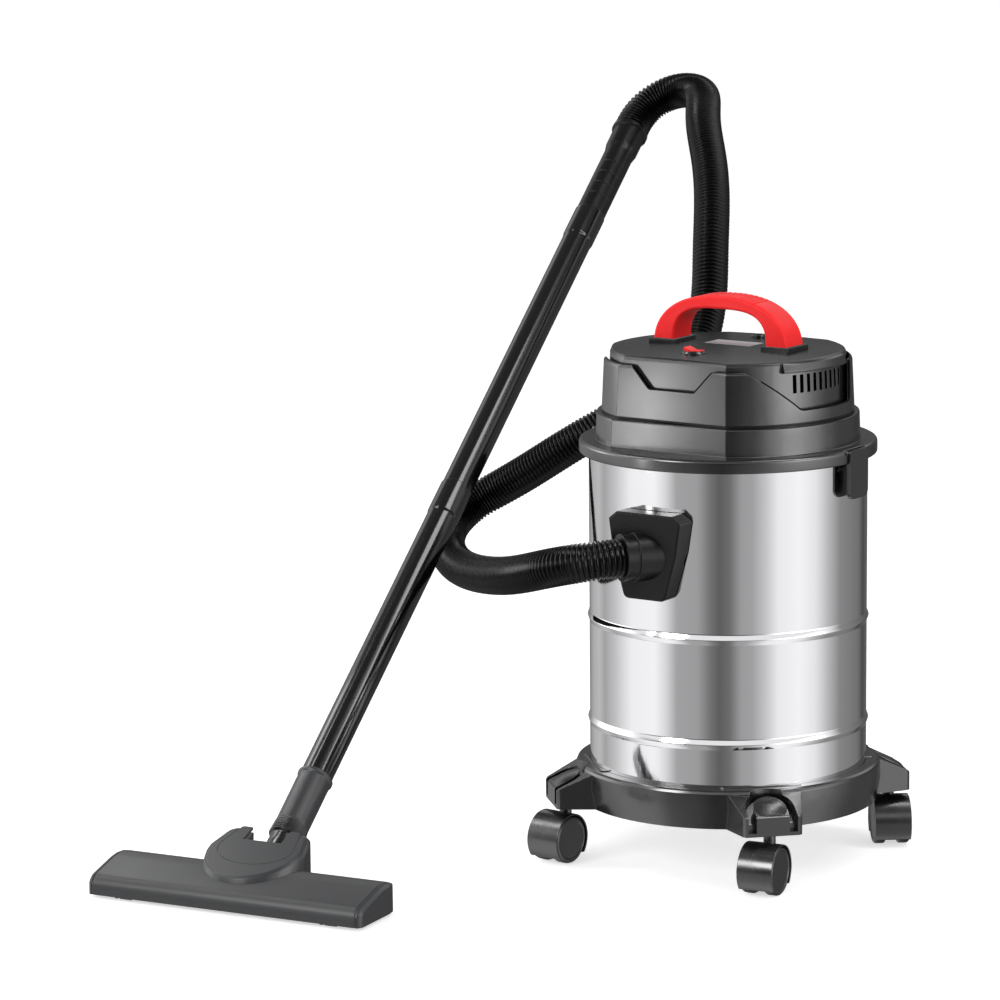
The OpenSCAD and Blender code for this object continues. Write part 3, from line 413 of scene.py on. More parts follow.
TANK_STEEL = PolishedStainless(
    "stainless_mirror_polished", Slot.STEEL, "E4E4E6", 0.045, metallic=1.0
)
HEAD_ABS = SparkTexturedABS(
    "abs_spark_textured_grey", Slot.DARK, "0F0F10", 0.26, ior=1.6, lustre=1.0, other="0C0C0D"
)
NOZZLE_ABS = SparkTexturedABS(
    "abs_spark_textured_nozzle", Slot.DARK, "2C2D2F", 0.44, lustre=0.7, other="2B2C2E"
)
DOME_ABS = SparkTexturedABS(
    "abs_spark_textured_cover", Slot.DARK, "2B2C2E", 0.4, lustre=0.7, other="2D2E30"
)
BASE_ABS = SparkTexturedABS(
    "abs_spark_textured_base", Slot.DARK, "0D0D0E", 0.22, ior=1.6, lustre=1.0, other="0B0B0C"
)
CUFF_PP = MouldedPolypropylene("polypropylene_satin_cuff", Slot.SMOOTH, "0C0C0D", 0.34, lustre=0.3)
HOUSING_PP = MouldedPolypropylene(
    "polypropylene_satin_housing", Slot.SMOOTH, "0A0A0B", 0.3, lustre=0.25
)
WHEEL_PP = MouldedPolypropylene(
    "polypropylene_satin_caster", Slot.SMOOTH, "141415", 0.3, lustre=1.0
)
HOOD_PP = MouldedPolypropylene(
    "polypropylene_caster_hood", Slot.DARK, "0F0F10", 0.27, ior=1.6, lustre=1.0
)
BLACK_PP = MouldedPolypropylene("polypropylene_black", Slot.BLACK, "0B0B0C", 0.2, lustre=0.9)
# Painted shadow: a near-black, dull strip that stands for the shade in the gap between the head's shells.
GAP_SHADOW_PAINT = MouldedPolypropylene("painted_shadow_in_the_gap", Slot.BLACK, "030303", 0.6, lustre=0.1)
RED_PP = MouldedPolypropylene("polypropylene_red_gloss", Slot.RED, "F8282A", 0.34, lustre=0.18)
LABEL_FOIL = BlankFoil("foil_plate_blank_satin", Slot.PLATE, "B9B9BC", 0.5, lustre=0.25)
TUBE_ENAMEL = StovedEnamel("enamel_stoved_black", Slot.TUBE, "060607", 0.2, lustre=0.4)
HOSE_PE = BlownPolyethylene("polyethylene_blown_hose", Slot.HOSE, "050506", 0.24, lustre=0.2)
SEAL_RUBBER = VulcanisedRubber("rubber_moulded_seal", Slot.SEAL, "121213", 0.7)
ROLLER_RUBBER = VulcanisedRubber("rubber_moulded_roller", Slot.ROLLER, "151516", 0.6)
PLATED_STEEL = ZincPlated("steel_zinc_plated", Slot.PLATED, "B9BABD", 0.28, metallic=1.0)
FAN_ALUMINIUM = SpunAluminium("aluminium_spun_fan", Slot.FAN, "D5D6D8", 0.3, metallic=1.0)
FLOAT_PP = MouldedPolypropylene("polypropylene_float", Slot.FLOAT, "C96A20", 0.4)
FILTER_FOAM = OpenCellFoam("foam_open_cell", Slot.FOAM, "1D1D1F", 0.9)
BRISTLE = NylonBristle("nylon_bristle_strip", Slot.BRUSH, "101011", 0.6)


# ---- meshes ----


def piece_of(
    name: str, points: Points, faces: Faces, crease: float = 35.0
) -> bpy.types.Object:
    """Make an object from points in millimetres.

    Args:
        name: the piece's name.
        points: its points.
        faces: point numbers of each face.
        crease: edges sharper than this many degrees stay sharp.

    Returns:
        The new object.
    """
    mesh = bpy.data.meshes.new(name)
    mesh.from_pydata([Vector(p) * MM for p in points], [], faces)
    worked = bmesh.new()
    worked.from_mesh(mesh)
    bmesh.ops.remove_doubles(worked, verts=worked.verts, dist=SAME)
    bmesh.ops.recalc_face_normals(worked, faces=worked.faces)
    worked.to_mesh(mesh)
    worked.free()
    made = bpy.data.objects.new(name, mesh)
    bpy.context.scene.collection.objects.link(made)
    smooth(made, crease)
    return made


def smooth(piece: bpy.types.Object, crease: float) -> None:
    """Shade a piece smooth, with its sharp edges kept.

    Args:
        piece: the piece.
        crease: edges sharper than this many degrees stay sharp.
    """
    mesh = piece.data
    mesh.polygons.foreach_set("use_smooth", [True] * len(mesh.polygons))
    mesh.set_sharp_from_angle(angle=math.radians(crease))


def turned(
    name: str,
    profile: Profile,
    steps: int = 96,
    placed: Matrix | None = None,
    crease: float = 35.0,
) -> bpy.types.Object:
    """Turn a closed outline about the upright axis.

    Args:
        name: the piece's name.
        profile: radius and height of each corner, in millimetres.
        steps: facets around.
        placed: where the piece's own axes go, in millimetres.
        crease: edges sharper than this many degrees stay sharp.

    Returns:
        The new object.
    """
    rings = []
    for radius, height in profile:
        angles = [2 * math.pi * k / steps for k in range(steps)]
        rings.append(
            [Vector((radius * math.cos(a), radius * math.sin(a), height)) for a in angles]
        )
    points, faces = joined(rings, closed=True)
    if placed:
        points = [tuple(placed @ Vector(p)) for p in points]
    return piece_of(name, points, faces, crease)


def joined(
    rings: list[list[Vector]], closed: bool = False, capped: bool = False
) -> tuple[Points, Faces]:
    """Join rings of as many points each with quads.

    Args:
        rings: the rings, in order.
        closed: whether the last ring joins the first.
        capped: whether both end rings are filled.

    Returns:
        The points and the faces.
    """
    around = len(rings[0])
    points = [tuple(p) for ring in rings for p in ring]
    spans = range(len(rings) if closed else len(rings) - 1)
    faces: Faces = []
    for i in spans:
        here, there = i * around, (i + 1) % len(rings) * around
        for k in range(around):
            after = (k + 1) % around
            faces.append((here + k, here + after, there + after, there + k))
    if capped:
        faces.append(tuple(range(around)))
        faces.append(tuple(range((len(rings) - 1) * around, len(rings) * around)))
    return points, faces


def welded(node: str) -> bmesh.types.BMesh:
    """Copy a node's mesh, so that faces that meet share their corners.

    Args:
        node: the node.

    Returns:
        The copy.
    """
    worked = bmesh.new()
    worked.from_mesh(frame["nodes"][node].data)
    bmesh.ops.remove_doubles(worked, verts=worked.verts, dist=WELD)
    return worked


def softened(node: str, name: str, radius: float) -> bpy.types.Object:
    """Copy a node of the frame, with its hard edges rounded.

    Where the full width would fold a face over itself, the rounding is made narrower.

    Args:
        node: the node.
        name: the new piece's name.
        radius: width of the rounding, in millimetres.

    Returns:
        The new object.
    """
    worked = welded(node)
    bmesh.ops.dissolve_limit(
        worked, angle_limit=math.radians(FLAT), verts=worked.verts, edges=worked.edges
    )
    mesh = bpy.data.meshes.new(name)
    worked.to_mesh(mesh)
    worked.free()
    made = bpy.data.objects.new(name, mesh)
    bpy.context.scene.collection.objects.link(made)
    smooth(made, crease=50.0)
    bevel = made.modifiers.new("edge", "BEVEL")
    bevel.segments = 2
    bevel.limit_method = "ANGLE"
    bevel.angle_limit = math.radians(HARD)
    bevel.use_clamp_overlap = False
    even = made.modifiers.new("even_faces", "WEIGHTED_NORMAL")
    even.weight = 80  # above 50, wide faces lead their narrow neighbours
    tries = []
    for share in WIDTHS:
        bevel.width = radius * MM * share
        bpy.context.view_layer.update()
        rounded = made.evaluated_get(bpy.context.evaluated_depsgraph_get())
        tries.append(bpy.data.meshes.new_from_object(rounded))
        if folded(tries[-1]) < FOLDED:
            break
    made.modifiers.clear()
    made.data = min(tries, key=folded)
    return made


def folded(mesh: bpy.types.Mesh) -> float:
    """Measure how much of a mesh folds over itself.

    Args:
        mesh: the mesh.

    Returns:
        The share of its area whose triangles are turned away from their own face.
    """
    mesh.calc_loop_triangles()
    turned_over = sum(
        t.area
        for t in mesh.loop_triangles
        if t.normal.dot(mesh.polygons[t.polygon_index].normal) < 0.5  # over 60 degrees away
    )
    return turned_over / sum(face.area for face in mesh.polygons)


def rim_of(node: str, foot: float) -> list[list[Vector]]:
    """Return the outer edge of a shell's upper rim, as chains of points.

    Args:
        node: the shell's node.
        foot: height above the shell's foot where the rim starts, in millimetres.

    Returns:
        The chains, in metres.
    """
    least_outward, most_across, least_upward = 0.75, 0.45, 0.12  # parts of a unit normal
    worked = welded(node)
    lowest = min(v.co.z for v in worked.verts) + foot * MM
    beside: dict[bmesh.types.BMVert, list[bmesh.types.BMVert]] = {}
    for edge in worked.edges:
        middle = (edge.verts[0].co + edge.verts[1].co) / 2
        if len(edge.link_faces) != 2 or middle.z <= lowest:
            continue
        out = Vector((middle.x, middle.y, 0)).normalized()
        wall, rim = sorted(edge.link_faces, key=lambda face: -face.normal.dot(out))
        is_rim = abs(rim.normal.dot(out)) < most_across and rim.normal.z > least_upward
        if is_rim and wall.normal.dot(out) > least_outward:
            for here, there in (edge.verts, reversed(edge.verts)):
                beside.setdefault(here, []).append(there)
    chains = []
    left = dict.fromkeys(sorted(beside, key=lambda v: (len(beside[v]), v.index)))
    while left:
        here = next(iter(left))
        chain = []
        while here is not None:
            del left[here]
            chain.append(here.co.copy())
            here = next((v for v in beside[here] if v in left), None)
        if len(chain) > 3:  # shorter ones are stray corners
            chains.append(chain)
    worked.free()
    return chains


def lay_painted_gap_shadow(node: str, name: str, width: float, foot: float) -> bpy.types.Object:
    """Lay a near-black strip along the rim of the outer shell, as painted shadow for the gap between two shells.

    Args:
        node: the outer shell's node.
        name: the new piece's name.
        width: the strip's width, which is the gap's, in millimetres.
        foot: height above the shell's foot where the rim starts, in millimetres.

    Returns:
        The new object.
    """
    points: Points = []
    faces: Faces = []
    around = 6
    for chain in rim_of(node, foot):
        rings = []
        for k, place in enumerate(chain):
            along = (chain[min(k + 1, len(chain) - 1)] - chain[max(k - 1, 0)]).normalized()
            out = Vector((place.x, place.y, 0)).normalized()
            side = along.cross(out).normalized()
            out = side.cross(along)
            rings.append(
                [
                    (place + (out * math.cos(a) + side * math.sin(a)) * width * MM / 2) / MM
                    for a in (math.tau * i / around for i in range(around))
                ]
            )
        more, over = joined(rings, capped=True)
        faces += [tuple(i + len(points) for i in face) for face in over]
        points += more
    return piece_of(name, points, faces, crease=60.0)


def body_of(node: str) -> str:
    """Return the name of the body that a node belongs to."""
    groups = frame["record"]["behaviour"]["bodies"]
    return next(body for body, nodes in groups.items() if node in nodes)


def fit(piece: bpy.types.Object, finish: Finish, *nodes: str) -> bpy.types.Object:
    """Finish a piece, and let it stand for nodes of the frame and ride with their body.

    Args:
        piece: the piece.
        finish: its finish.
        nodes: the nodes that it stands for.

    Returns:
        The piece.
    """
    piece.data.materials.clear()
    piece.data.materials.append(finish.material())
    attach(piece, body_of(nodes[0]))
    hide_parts(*nodes)
    LOG.info("%s rides on %s in %s", piece.name, body_of(nodes[0]), finish.name)
    return piece


def unmirrored(piece: bpy.types.Object) -> bpy.types.Object:
    """Keep a piece out of the tank's reflections, and return it."""
    piece.visible_glossy = False
    return piece


def dress(finish: Finish, *nodes: str) -> None:
    """Give nodes of the frame a finish where they stay as they are.

    Args:
        finish: the finish.
        nodes: the nodes.
    """
    for node in nodes:
        shown = frame["nodes"][node]
        for slot in shown.material_slots:
            slot.material = finish.material()
        LOG.info("%s keeps its shape in %s", node, finish.name)


def joint(name: str) -> tuple[Vector, Vector]:
    """Return a joint's place in millimetres and its axis."""
    found = next(j for j in frame["joints"] if j["name"] == name)
    return Vector(found["pos_m"]) / MM, Vector(found["axis"]).normalized()


def facing(place: Vector, axis: Vector) -> Matrix:
    """Return the matrix that sets an upright piece at a place along an axis."""
    return Matrix.Translation(place) @ axis.to_track_quat("Z", "Y").to_matrix().to_4x4()


# ---- the vacuum ----


@dataclass
class Hose:
    """Corrugated hose from the tank's connector to the wand's cuff, 1.42 m along its middle."""

    diameter: float = 42.0
    pitch: float = 4.8  # from one rib to the next
    groove: float = 2.3
    around: int = 40
    start: tuple[float, float, float] = (-18.31, -187.76, 352.0)
    end: tuple[float, float, float] = (-425.48, 480.64, 725.85)
    route: Points = field(
        default_factory=lambda: [
            (-31, -205, 351), (-56, -218, 347), (-92, -215, 338), (-136, -189, 324),
            (-188, -150, 309), (-244, -102, 296), (-301, -54, 286), (-350, -15, 285),
            (-387, 20, 297), (-401, 54, 316), (-389, 84, 336), (-360, 98, 354),
            (-326, 101, 374), (-289, 104, 398), (-258, 111, 418), (-232, 128, 436),
            (-212, 154, 450), (-198, 190, 466), (-190, 228, 488), (-190, 263, 522),
            (-199, 292, 566), (-216, 320, 615), (-236, 358, 660), (-264, 400, 702),
            (-300, 441, 740), (-319, 474, 762), (-337, 504, 772), (-366, 522, 776),
            (-397, 523, 771), (-420, 509, 755), (-427, 493, 737),
        ]
    )

    def middle(self) -> list[Vector]:
        """Draw the hose's middle line as a smooth curve near the route.

        Returns:
            Its points, in close steps.
        """
        points = [Vector(p) for p in [self.start, *self.route, self.end]]
        held = [2 * points[0] - points[1], *points, 2 * points[-1] - points[-2]]
        line = []
        steps = 60
        for i in range(len(points) - 1):
            for k in range(steps):
                t, s = k / steps, 1 - k / steps
                line.append(
                    (
                        s**3 * held[i]
                        + (3 * t**3 - 6 * t**2 + 4) * held[i + 1]
                        + (3 * s**3 - 6 * s**2 + 4) * held[i + 2]
                        + t**3 * held[i + 3]
                    )
                    / 6
                )
        return [*line, points[-1]]

    def spaced(self, step: float) -> tuple[list[Vector], float]:
        """Space points along the middle line.

        Args:
            step: the distance between them, which is made to fit the whole length.

        Returns:
            The points and the whole length.
        """
        line = self.middle()
        lengths = [0.0]
        for a, b in zip(line, line[1:]):
            lengths.append(lengths[-1] + (b - a).length)
        total = lengths[-1]
        count = round(total / step)
        found, i = [], 0
        for k in range(count + 1):
            want = total * k / count
            while i < len(line) - 2 and lengths[i + 1] < want:
                i += 1
            part = (want - lengths[i]) / (lengths[i + 1] - lengths[i])
            found.append(line[i].lerp(line[i + 1], part))
        return found, total

    def build(self) -> None:
        """Build the hose as rings along its middle line, six to a rib."""
        depths = [1.0, 0.72, 0.16, 0.0, 0.16, 0.72]  # shares of the groove's, over one rib
        steps = len(depths)
        line, total = self.spaced(self.pitch / steps)
        side = Vector((0, 0, 1))
        rings = []
        for i, place in enumerate(line):
            ahead = line[min(i + 1, len(line) - 1)] - line[max(i - 1, 0)]
            ahead.normalize()
            side = (side - side.dot(ahead) * ahead).normalized()
            across = ahead.cross(side)
            radius = self.diameter / 2 - self.groove * depths[i % steps]
            rings.append(
                [
                    place
                    + radius * (math.cos(a) * side + math.sin(a) * across)
                    for a in (2 * math.pi * k / self.around for k in range(self.around))
                ]
            )
        points, faces = joined(rings, capped=True)
        hose = fit(piece_of("hose_corrugated", points, faces, crease=60.0), HOSE_PE, "hose")
        tuple(Vector(self.start) * MM)


@dataclass
class Tank:
    """Polished steel tank with two swaged beads and a rolled rim."""

    radius: float = 150.0
    wall: float = 1.2
    floor: float = 90.0
    rim: float = 450.0
    beads: tuple[float, float] = (150.0, 263.0)
    bead_width: float = 11.0
    bead_rise: float = 2.0
    rim_rise: float = 4.0

    def bead(self, middle: float, inset: float) -> Profile:
        """Draw one bead of the wall, with its flanks nearly straight.

        Args:
            middle: its height.
            inset: how far inside the tank's radius it stands.

        Returns:
            Its outline from below to above.
        """
        half, face = self.bead_width / 2, self.radius - inset
        flank = [
            (0.0, 1.2), (0.0, 1.0), (0.07, 0.93), (0.2, 0.84), (0.85, 0.18), (0.96, 0.07), (1.0, 0.0),
        ]
        rising = [(face + self.bead_rise * rise, middle - half * away) for rise, away in flank]
        return [*rising, *((across, 2 * middle - height) for across, height in reversed(rising[:-1]))]

    def build(self) -> None:
        """Turn the shell from its outline, which is held straight beside each corner."""
        r, low, top = self.radius, self.floor, self.rim
        outside = [
            (0, low), (r - 7, low), (r - 4, low + 0.6), (r - 2, low + 2), (r, low + 7), (r, low + 9),
        ]
        roll = [
            (r, top - 10),
            (r, top - 8),
            (r + self.rim_rise - 1, top - 7),
            (r + self.rim_rise, top - 4),
            (r + self.rim_rise - 1, top - 1),
            (r + 1, top),
            (r - self.wall, top),
        ]
        inside = [
            (r - self.wall, low + 8),
            (r - 4, low + 3),
            (r - 8, low + self.wall),
            (0, low + self.wall),
        ]
        lining = [p for b in reversed(self.beads) for p in reversed(self.bead(b, self.wall))]
        outline = [
            *outside,
            *self.bead(self.beads[0], 0),
            *self.bead(self.beads[1], 0),
            *roll,
            *lining,
            *inside,
        ]
        shell = turned("tank_shell_polished", outline, steps=256, crease=30.0)
        fit(shell, TANK_STEEL, "tank_shell")


@dataclass
class Base:
    """Plastic ring that the tank stands in, with its four caster bosses."""

    def build(self) -> None:
        """Soften the ring and its crowned caps."""
        fit(softened("base_ring", "base_ring_moulded", 0.8), BASE_ABS, "base_ring")
        fit(softened("boss_caps", "boss_caps_moulded", 0.6), HOOD_PP, "boss_caps")
        dress(PLATED_STEEL, "base_screws")


@dataclass
class Caster:
    """Twin-wheel caster with a hood."""

    corner: str
    wheel_radius: float = 26.0
    wheel_width: float = 13.0
    web: float = 12.0
    gap: float = 0.5  # from the web to a wheel
    axle: float = 6.0
    clearance: float = 0.05  # around the axle
    hub_wall: float = 4.0
    face: float = 2.5

    def wheel(self, side: str) -> None:
        """Turn one wheel about its axle.

        Args:
            side: a or b.
        """
        node = f"caster_{self.corner}_wheel_{side}"
        place, axis = joint(f"{node}_spin")
        low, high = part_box(node)
        if ((low + high) / 2 / MM - place).dot(axis) < 0:
            axis = -axis
        r, w, bore = self.wheel_radius, self.wheel_width, self.axle / 2 + self.clearance
        hub = bore + self.hub_wall
        outline = [
            (bore, 0), (hub, 0), (hub, w - 4), (r - 4, w - 4), (r - 4, 0.5), (r - 2, 0.5),
            (r - 0.6, 1.1), (r, 2.5), (r, w - 3), (r - 0.5, w - 1.4), (r - 1.8, w - 0.3),
            (r - 3, w), (r - 4.2, w), (r - 4.8, w - 0.5), (r - 5.2, w - 1), (r - 7, w - 1.1),
            (0, w - 1), (0, w - self.face), (bore, w - self.face),
        ]
        placed = facing(place + axis * (self.web / 2 + self.gap), axis)
        wheel = turned(f"{node}_moulded", outline, placed=placed, crease=40.0)
        fit(wheel, WHEEL_PP, node)

    def build(self) -> None:
        """Build the hood and both wheels."""
        hood = f"caster_{self.corner}_hood"
        fit(softened(hood, f"{hood}_moulded", 0.7), HOOD_PP, hood)
        dress(PLATED_STEEL, f"caster_{self.corner}_pins")
        for side in "ab":
            self.wheel(side)


@dataclass
class Inlet:
    """Housing on the tank's front with the hose's connector."""

    def build(self) -> None:
        """Soften the housing and the connector."""
        fit(softened("inlet_housing", "inlet_housing_moulded", 1.0), HOUSING_PP, "inlet_housing")
        fit(softened("hose_connector", "hose_connector_moulded", 0.6), CUFF_PP, "hose_connector")
        dress(SEAL_RUBBER, "inlet_gasket")


@dataclass
class Wand:
    """Two enamelled tubes between the hose's cuff and the nozzle's cuff."""

    def build(self) -> None:
        """Finish the tubes and the cuffs."""
        for node in ("wand_upper_tube", "wand_lower_tube"):
            unmirrored(fit(softened(node, f"{node}_enamelled", 0.3), TUBE_ENAMEL, node))
        fit(softened("wand_cuff", "wand_cuff_moulded", 0.4), CUFF_PP, "wand_cuff")
        unmirrored(fit(softened("neck_cuff", "neck_cuff_moulded", 0.4), DOME_ABS, "neck_cuff"))


@dataclass
class Nozzle:
    """Wide floor nozzle with a brush pedal."""

    def build(self) -> None:
        """Soften the mouldings and finish what is under them."""
        for node, finish, radius in (
            ("nozzle_shell", NOZZLE_ABS, 0.8),
            ("nozzle_end_caps", NOZZLE_ABS, 0.6),
            ("pivot_cover", DOME_ABS, 1.2),
            ("brush_pedal", DOME_ABS, 0.5),
            ("neck_swivel", BLACK_PP, 0.3),
        ):
            unmirrored(fit(softened(node, f"{node}_moulded", radius), finish, node))
        dress(BLACK_PP, "nozzle_sole")
        dress(BRISTLE, "brush_strips")
        dress(PLATED_STEEL, "roller_pins")
        dress(ROLLER_RUBBER, "roller_left", "roller_right")


@dataclass
class Head:
    """Motor head: flange, middle shell and cap, with the switch and latches."""

    gap: float = 1.6  # width of the painted shadow strip in the gap over the middle shell's rim
    rim_foot: float = 12.0  # where the rim starts, above the shell's foot

    def build(self) -> None:
        """Soften the mouldings, finish the small parts, and lay painted shadow in the gap over the middle shell's
        rim.
        """
        for node, finish, radius in (
            ("head_base", HEAD_ABS, 0.9),
            ("head_shell", HEAD_ABS, 0.9),
            ("head_cap", HEAD_ABS, 0.9),
            ("handle_bezels", BLACK_PP, 0.8),
            ("switch_bezel", BLACK_PP, 0.5),
            ("switch_rocker", RED_PP, 0.6),
            ("label_plate", LABEL_FOIL, 0.3),
            ("cord_gland", BLACK_PP, 0.5),
            ("latch_left", HEAD_ABS, 0.7),
            ("latch_right", HEAD_ABS, 0.7),
        ):
            fit(softened(node, f"{node}_moulded", radius), finish, node)
        # Painted shadow: a near-black strip along the middle shell's rim stands for the shade in the gap under the
        # cap.
        gap = lay_painted_gap_shadow("head_shell", "head_shell_painted_gap_shadow", self.gap, self.rim_foot)
        gap.data.materials.append(GAP_SHADOW_PAINT.material())
        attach(gap, "head")
        dress(PLATED_STEEL, "latch_pins", "head_screws")
        dress(SEAL_RUBBER, "tank_seal")


@dataclass
class Handle:
    """Red carrying handle: an arch with flat sides and a ribbed grip."""

    length: float = 166.0
    foot: float = 26.0
    depth: float = 38.0
    base: float = 554.3
    rise: float = 56.5
    grip: float = 14.5
    ribs: int = 13
    rib_pitch: float = 6.5
    rib_depth: float = 1.8
    rib_margin: float = 1.2  # plain border beside the ribs
    edge: float = 3.2  # rounding of the section's corners
    outer_power: float = 2.25  # how square the arch is outside
    inner_power: float = 3.2

    def arch(self, half: float, rise: float, power: float, angle: float) -> tuple[float, float]:
        """Find a point of an arch.

        Args:
            half: half its length.
            rise: its height.
            power: how square it is. An ellipse is 2.
            angle: where the point is, in radians from the foot at +X.

        Returns:
            How far across and how far up the point is.
        """
        c, s = math.cos(angle), math.sin(angle)
        across = half * math.copysign(abs(c) ** (2 / power), c)
        return across, rise * max(s, 0.0) ** (2 / power)

    def build(self) -> None:
        """Sweep the section over the arch, and press the grip's ribs into its top."""
        steps, corner = 260, 7
        rings = []
        for i in range(steps + 1):
            angle = math.pi * i / steps
            ox, oz = self.arch(self.length / 2, self.rise, self.outer_power, angle)
            ix, iz = self.arch(
                self.length / 2 - self.foot, self.rise - self.grip, self.inner_power, angle
            )
            out = Vector((ox - ix, 0, oz - iz))
            thick = out.length
            out.normalize()
            middle = Vector(((ox + ix) / 2, 0, self.base + (oz + iz) / 2))
            edge = self.ribs * self.rib_pitch / 2
            phase = math.cos(2 * math.pi * ox / self.rib_pitch)
            dent = self.rib_depth * ((1 - phase) / 2) ** 3 if abs(ox) < edge else 0.0
            ring = []
            for quarter in range(4):
                ups = thick / 2 - self.edge if quarter in (0, 3) else self.edge - thick / 2
                sides = self.depth / 2 - self.edge if quarter < 2 else self.edge - self.depth / 2
                for k in range(corner):
                    a = math.pi / 2 * (quarter + k / (corner - 1))
                    up = ups + self.edge * math.cos(a)
                    aside = sides + self.edge * math.sin(a)
                    if quarter in (0, 3) and abs(aside) < self.depth / 2 - self.rib_margin:
                        up -= dent
                    ring.append(middle + out * up + Vector((0, aside, 0)))
            rings.append(ring)
        points, faces = joined(rings, capped=True)
        handle = piece_of("handle_moulded", points, faces, crease=45.0)
        unmirrored(fit(handle, RED_PP, "handle"))


@dataclass
class MotorUnit:
    """Motor, fan, float and filter under the head."""

    def build(self) -> None:
        """Finish the parts that show once the head is lifted off."""
        dress(BLACK_PP, "motor_housing", "float_cage")
        dress(SEAL_RUBBER, "motor_seal")
        dress(PLATED_STEEL, "motor_rotor")
        dress(FAN_ALUMINIUM, "motor_fan")
        dress(FLOAT_PP, "float_cup")
        dress(FILTER_FOAM, "foam_filter")


# ---- the studio ----


@dataclass(frozen=True)
class Softbox:
    """A lamp with a soft oblong face."""

    name: str
    place: tuple[float, float, float]
    target: tuple[float, float, float]  # the point that it faces
    width: float
    height: float
    power: float  # in watts

    def hang(self) -> None:
        """Hang the lamp where it is, facing its target."""
        data = bpy.data.lights.new(self.name, "AREA")
        data.shape = "RECTANGLE"
        data.size, data.size_y, data.energy = self.width, self.height, self.power
        lamp = bpy.data.objects.new(self.name, data)
        bpy.context.scene.collection.objects.link(lamp)
        lamp.visible_camera = False
        place = Vector(self.place)
        aim = (Vector(self.target) - place).to_track_quat("-Z", "Y")
        lamp.matrix_world = Matrix.Translation(place) @ aim.to_matrix().to_4x4()


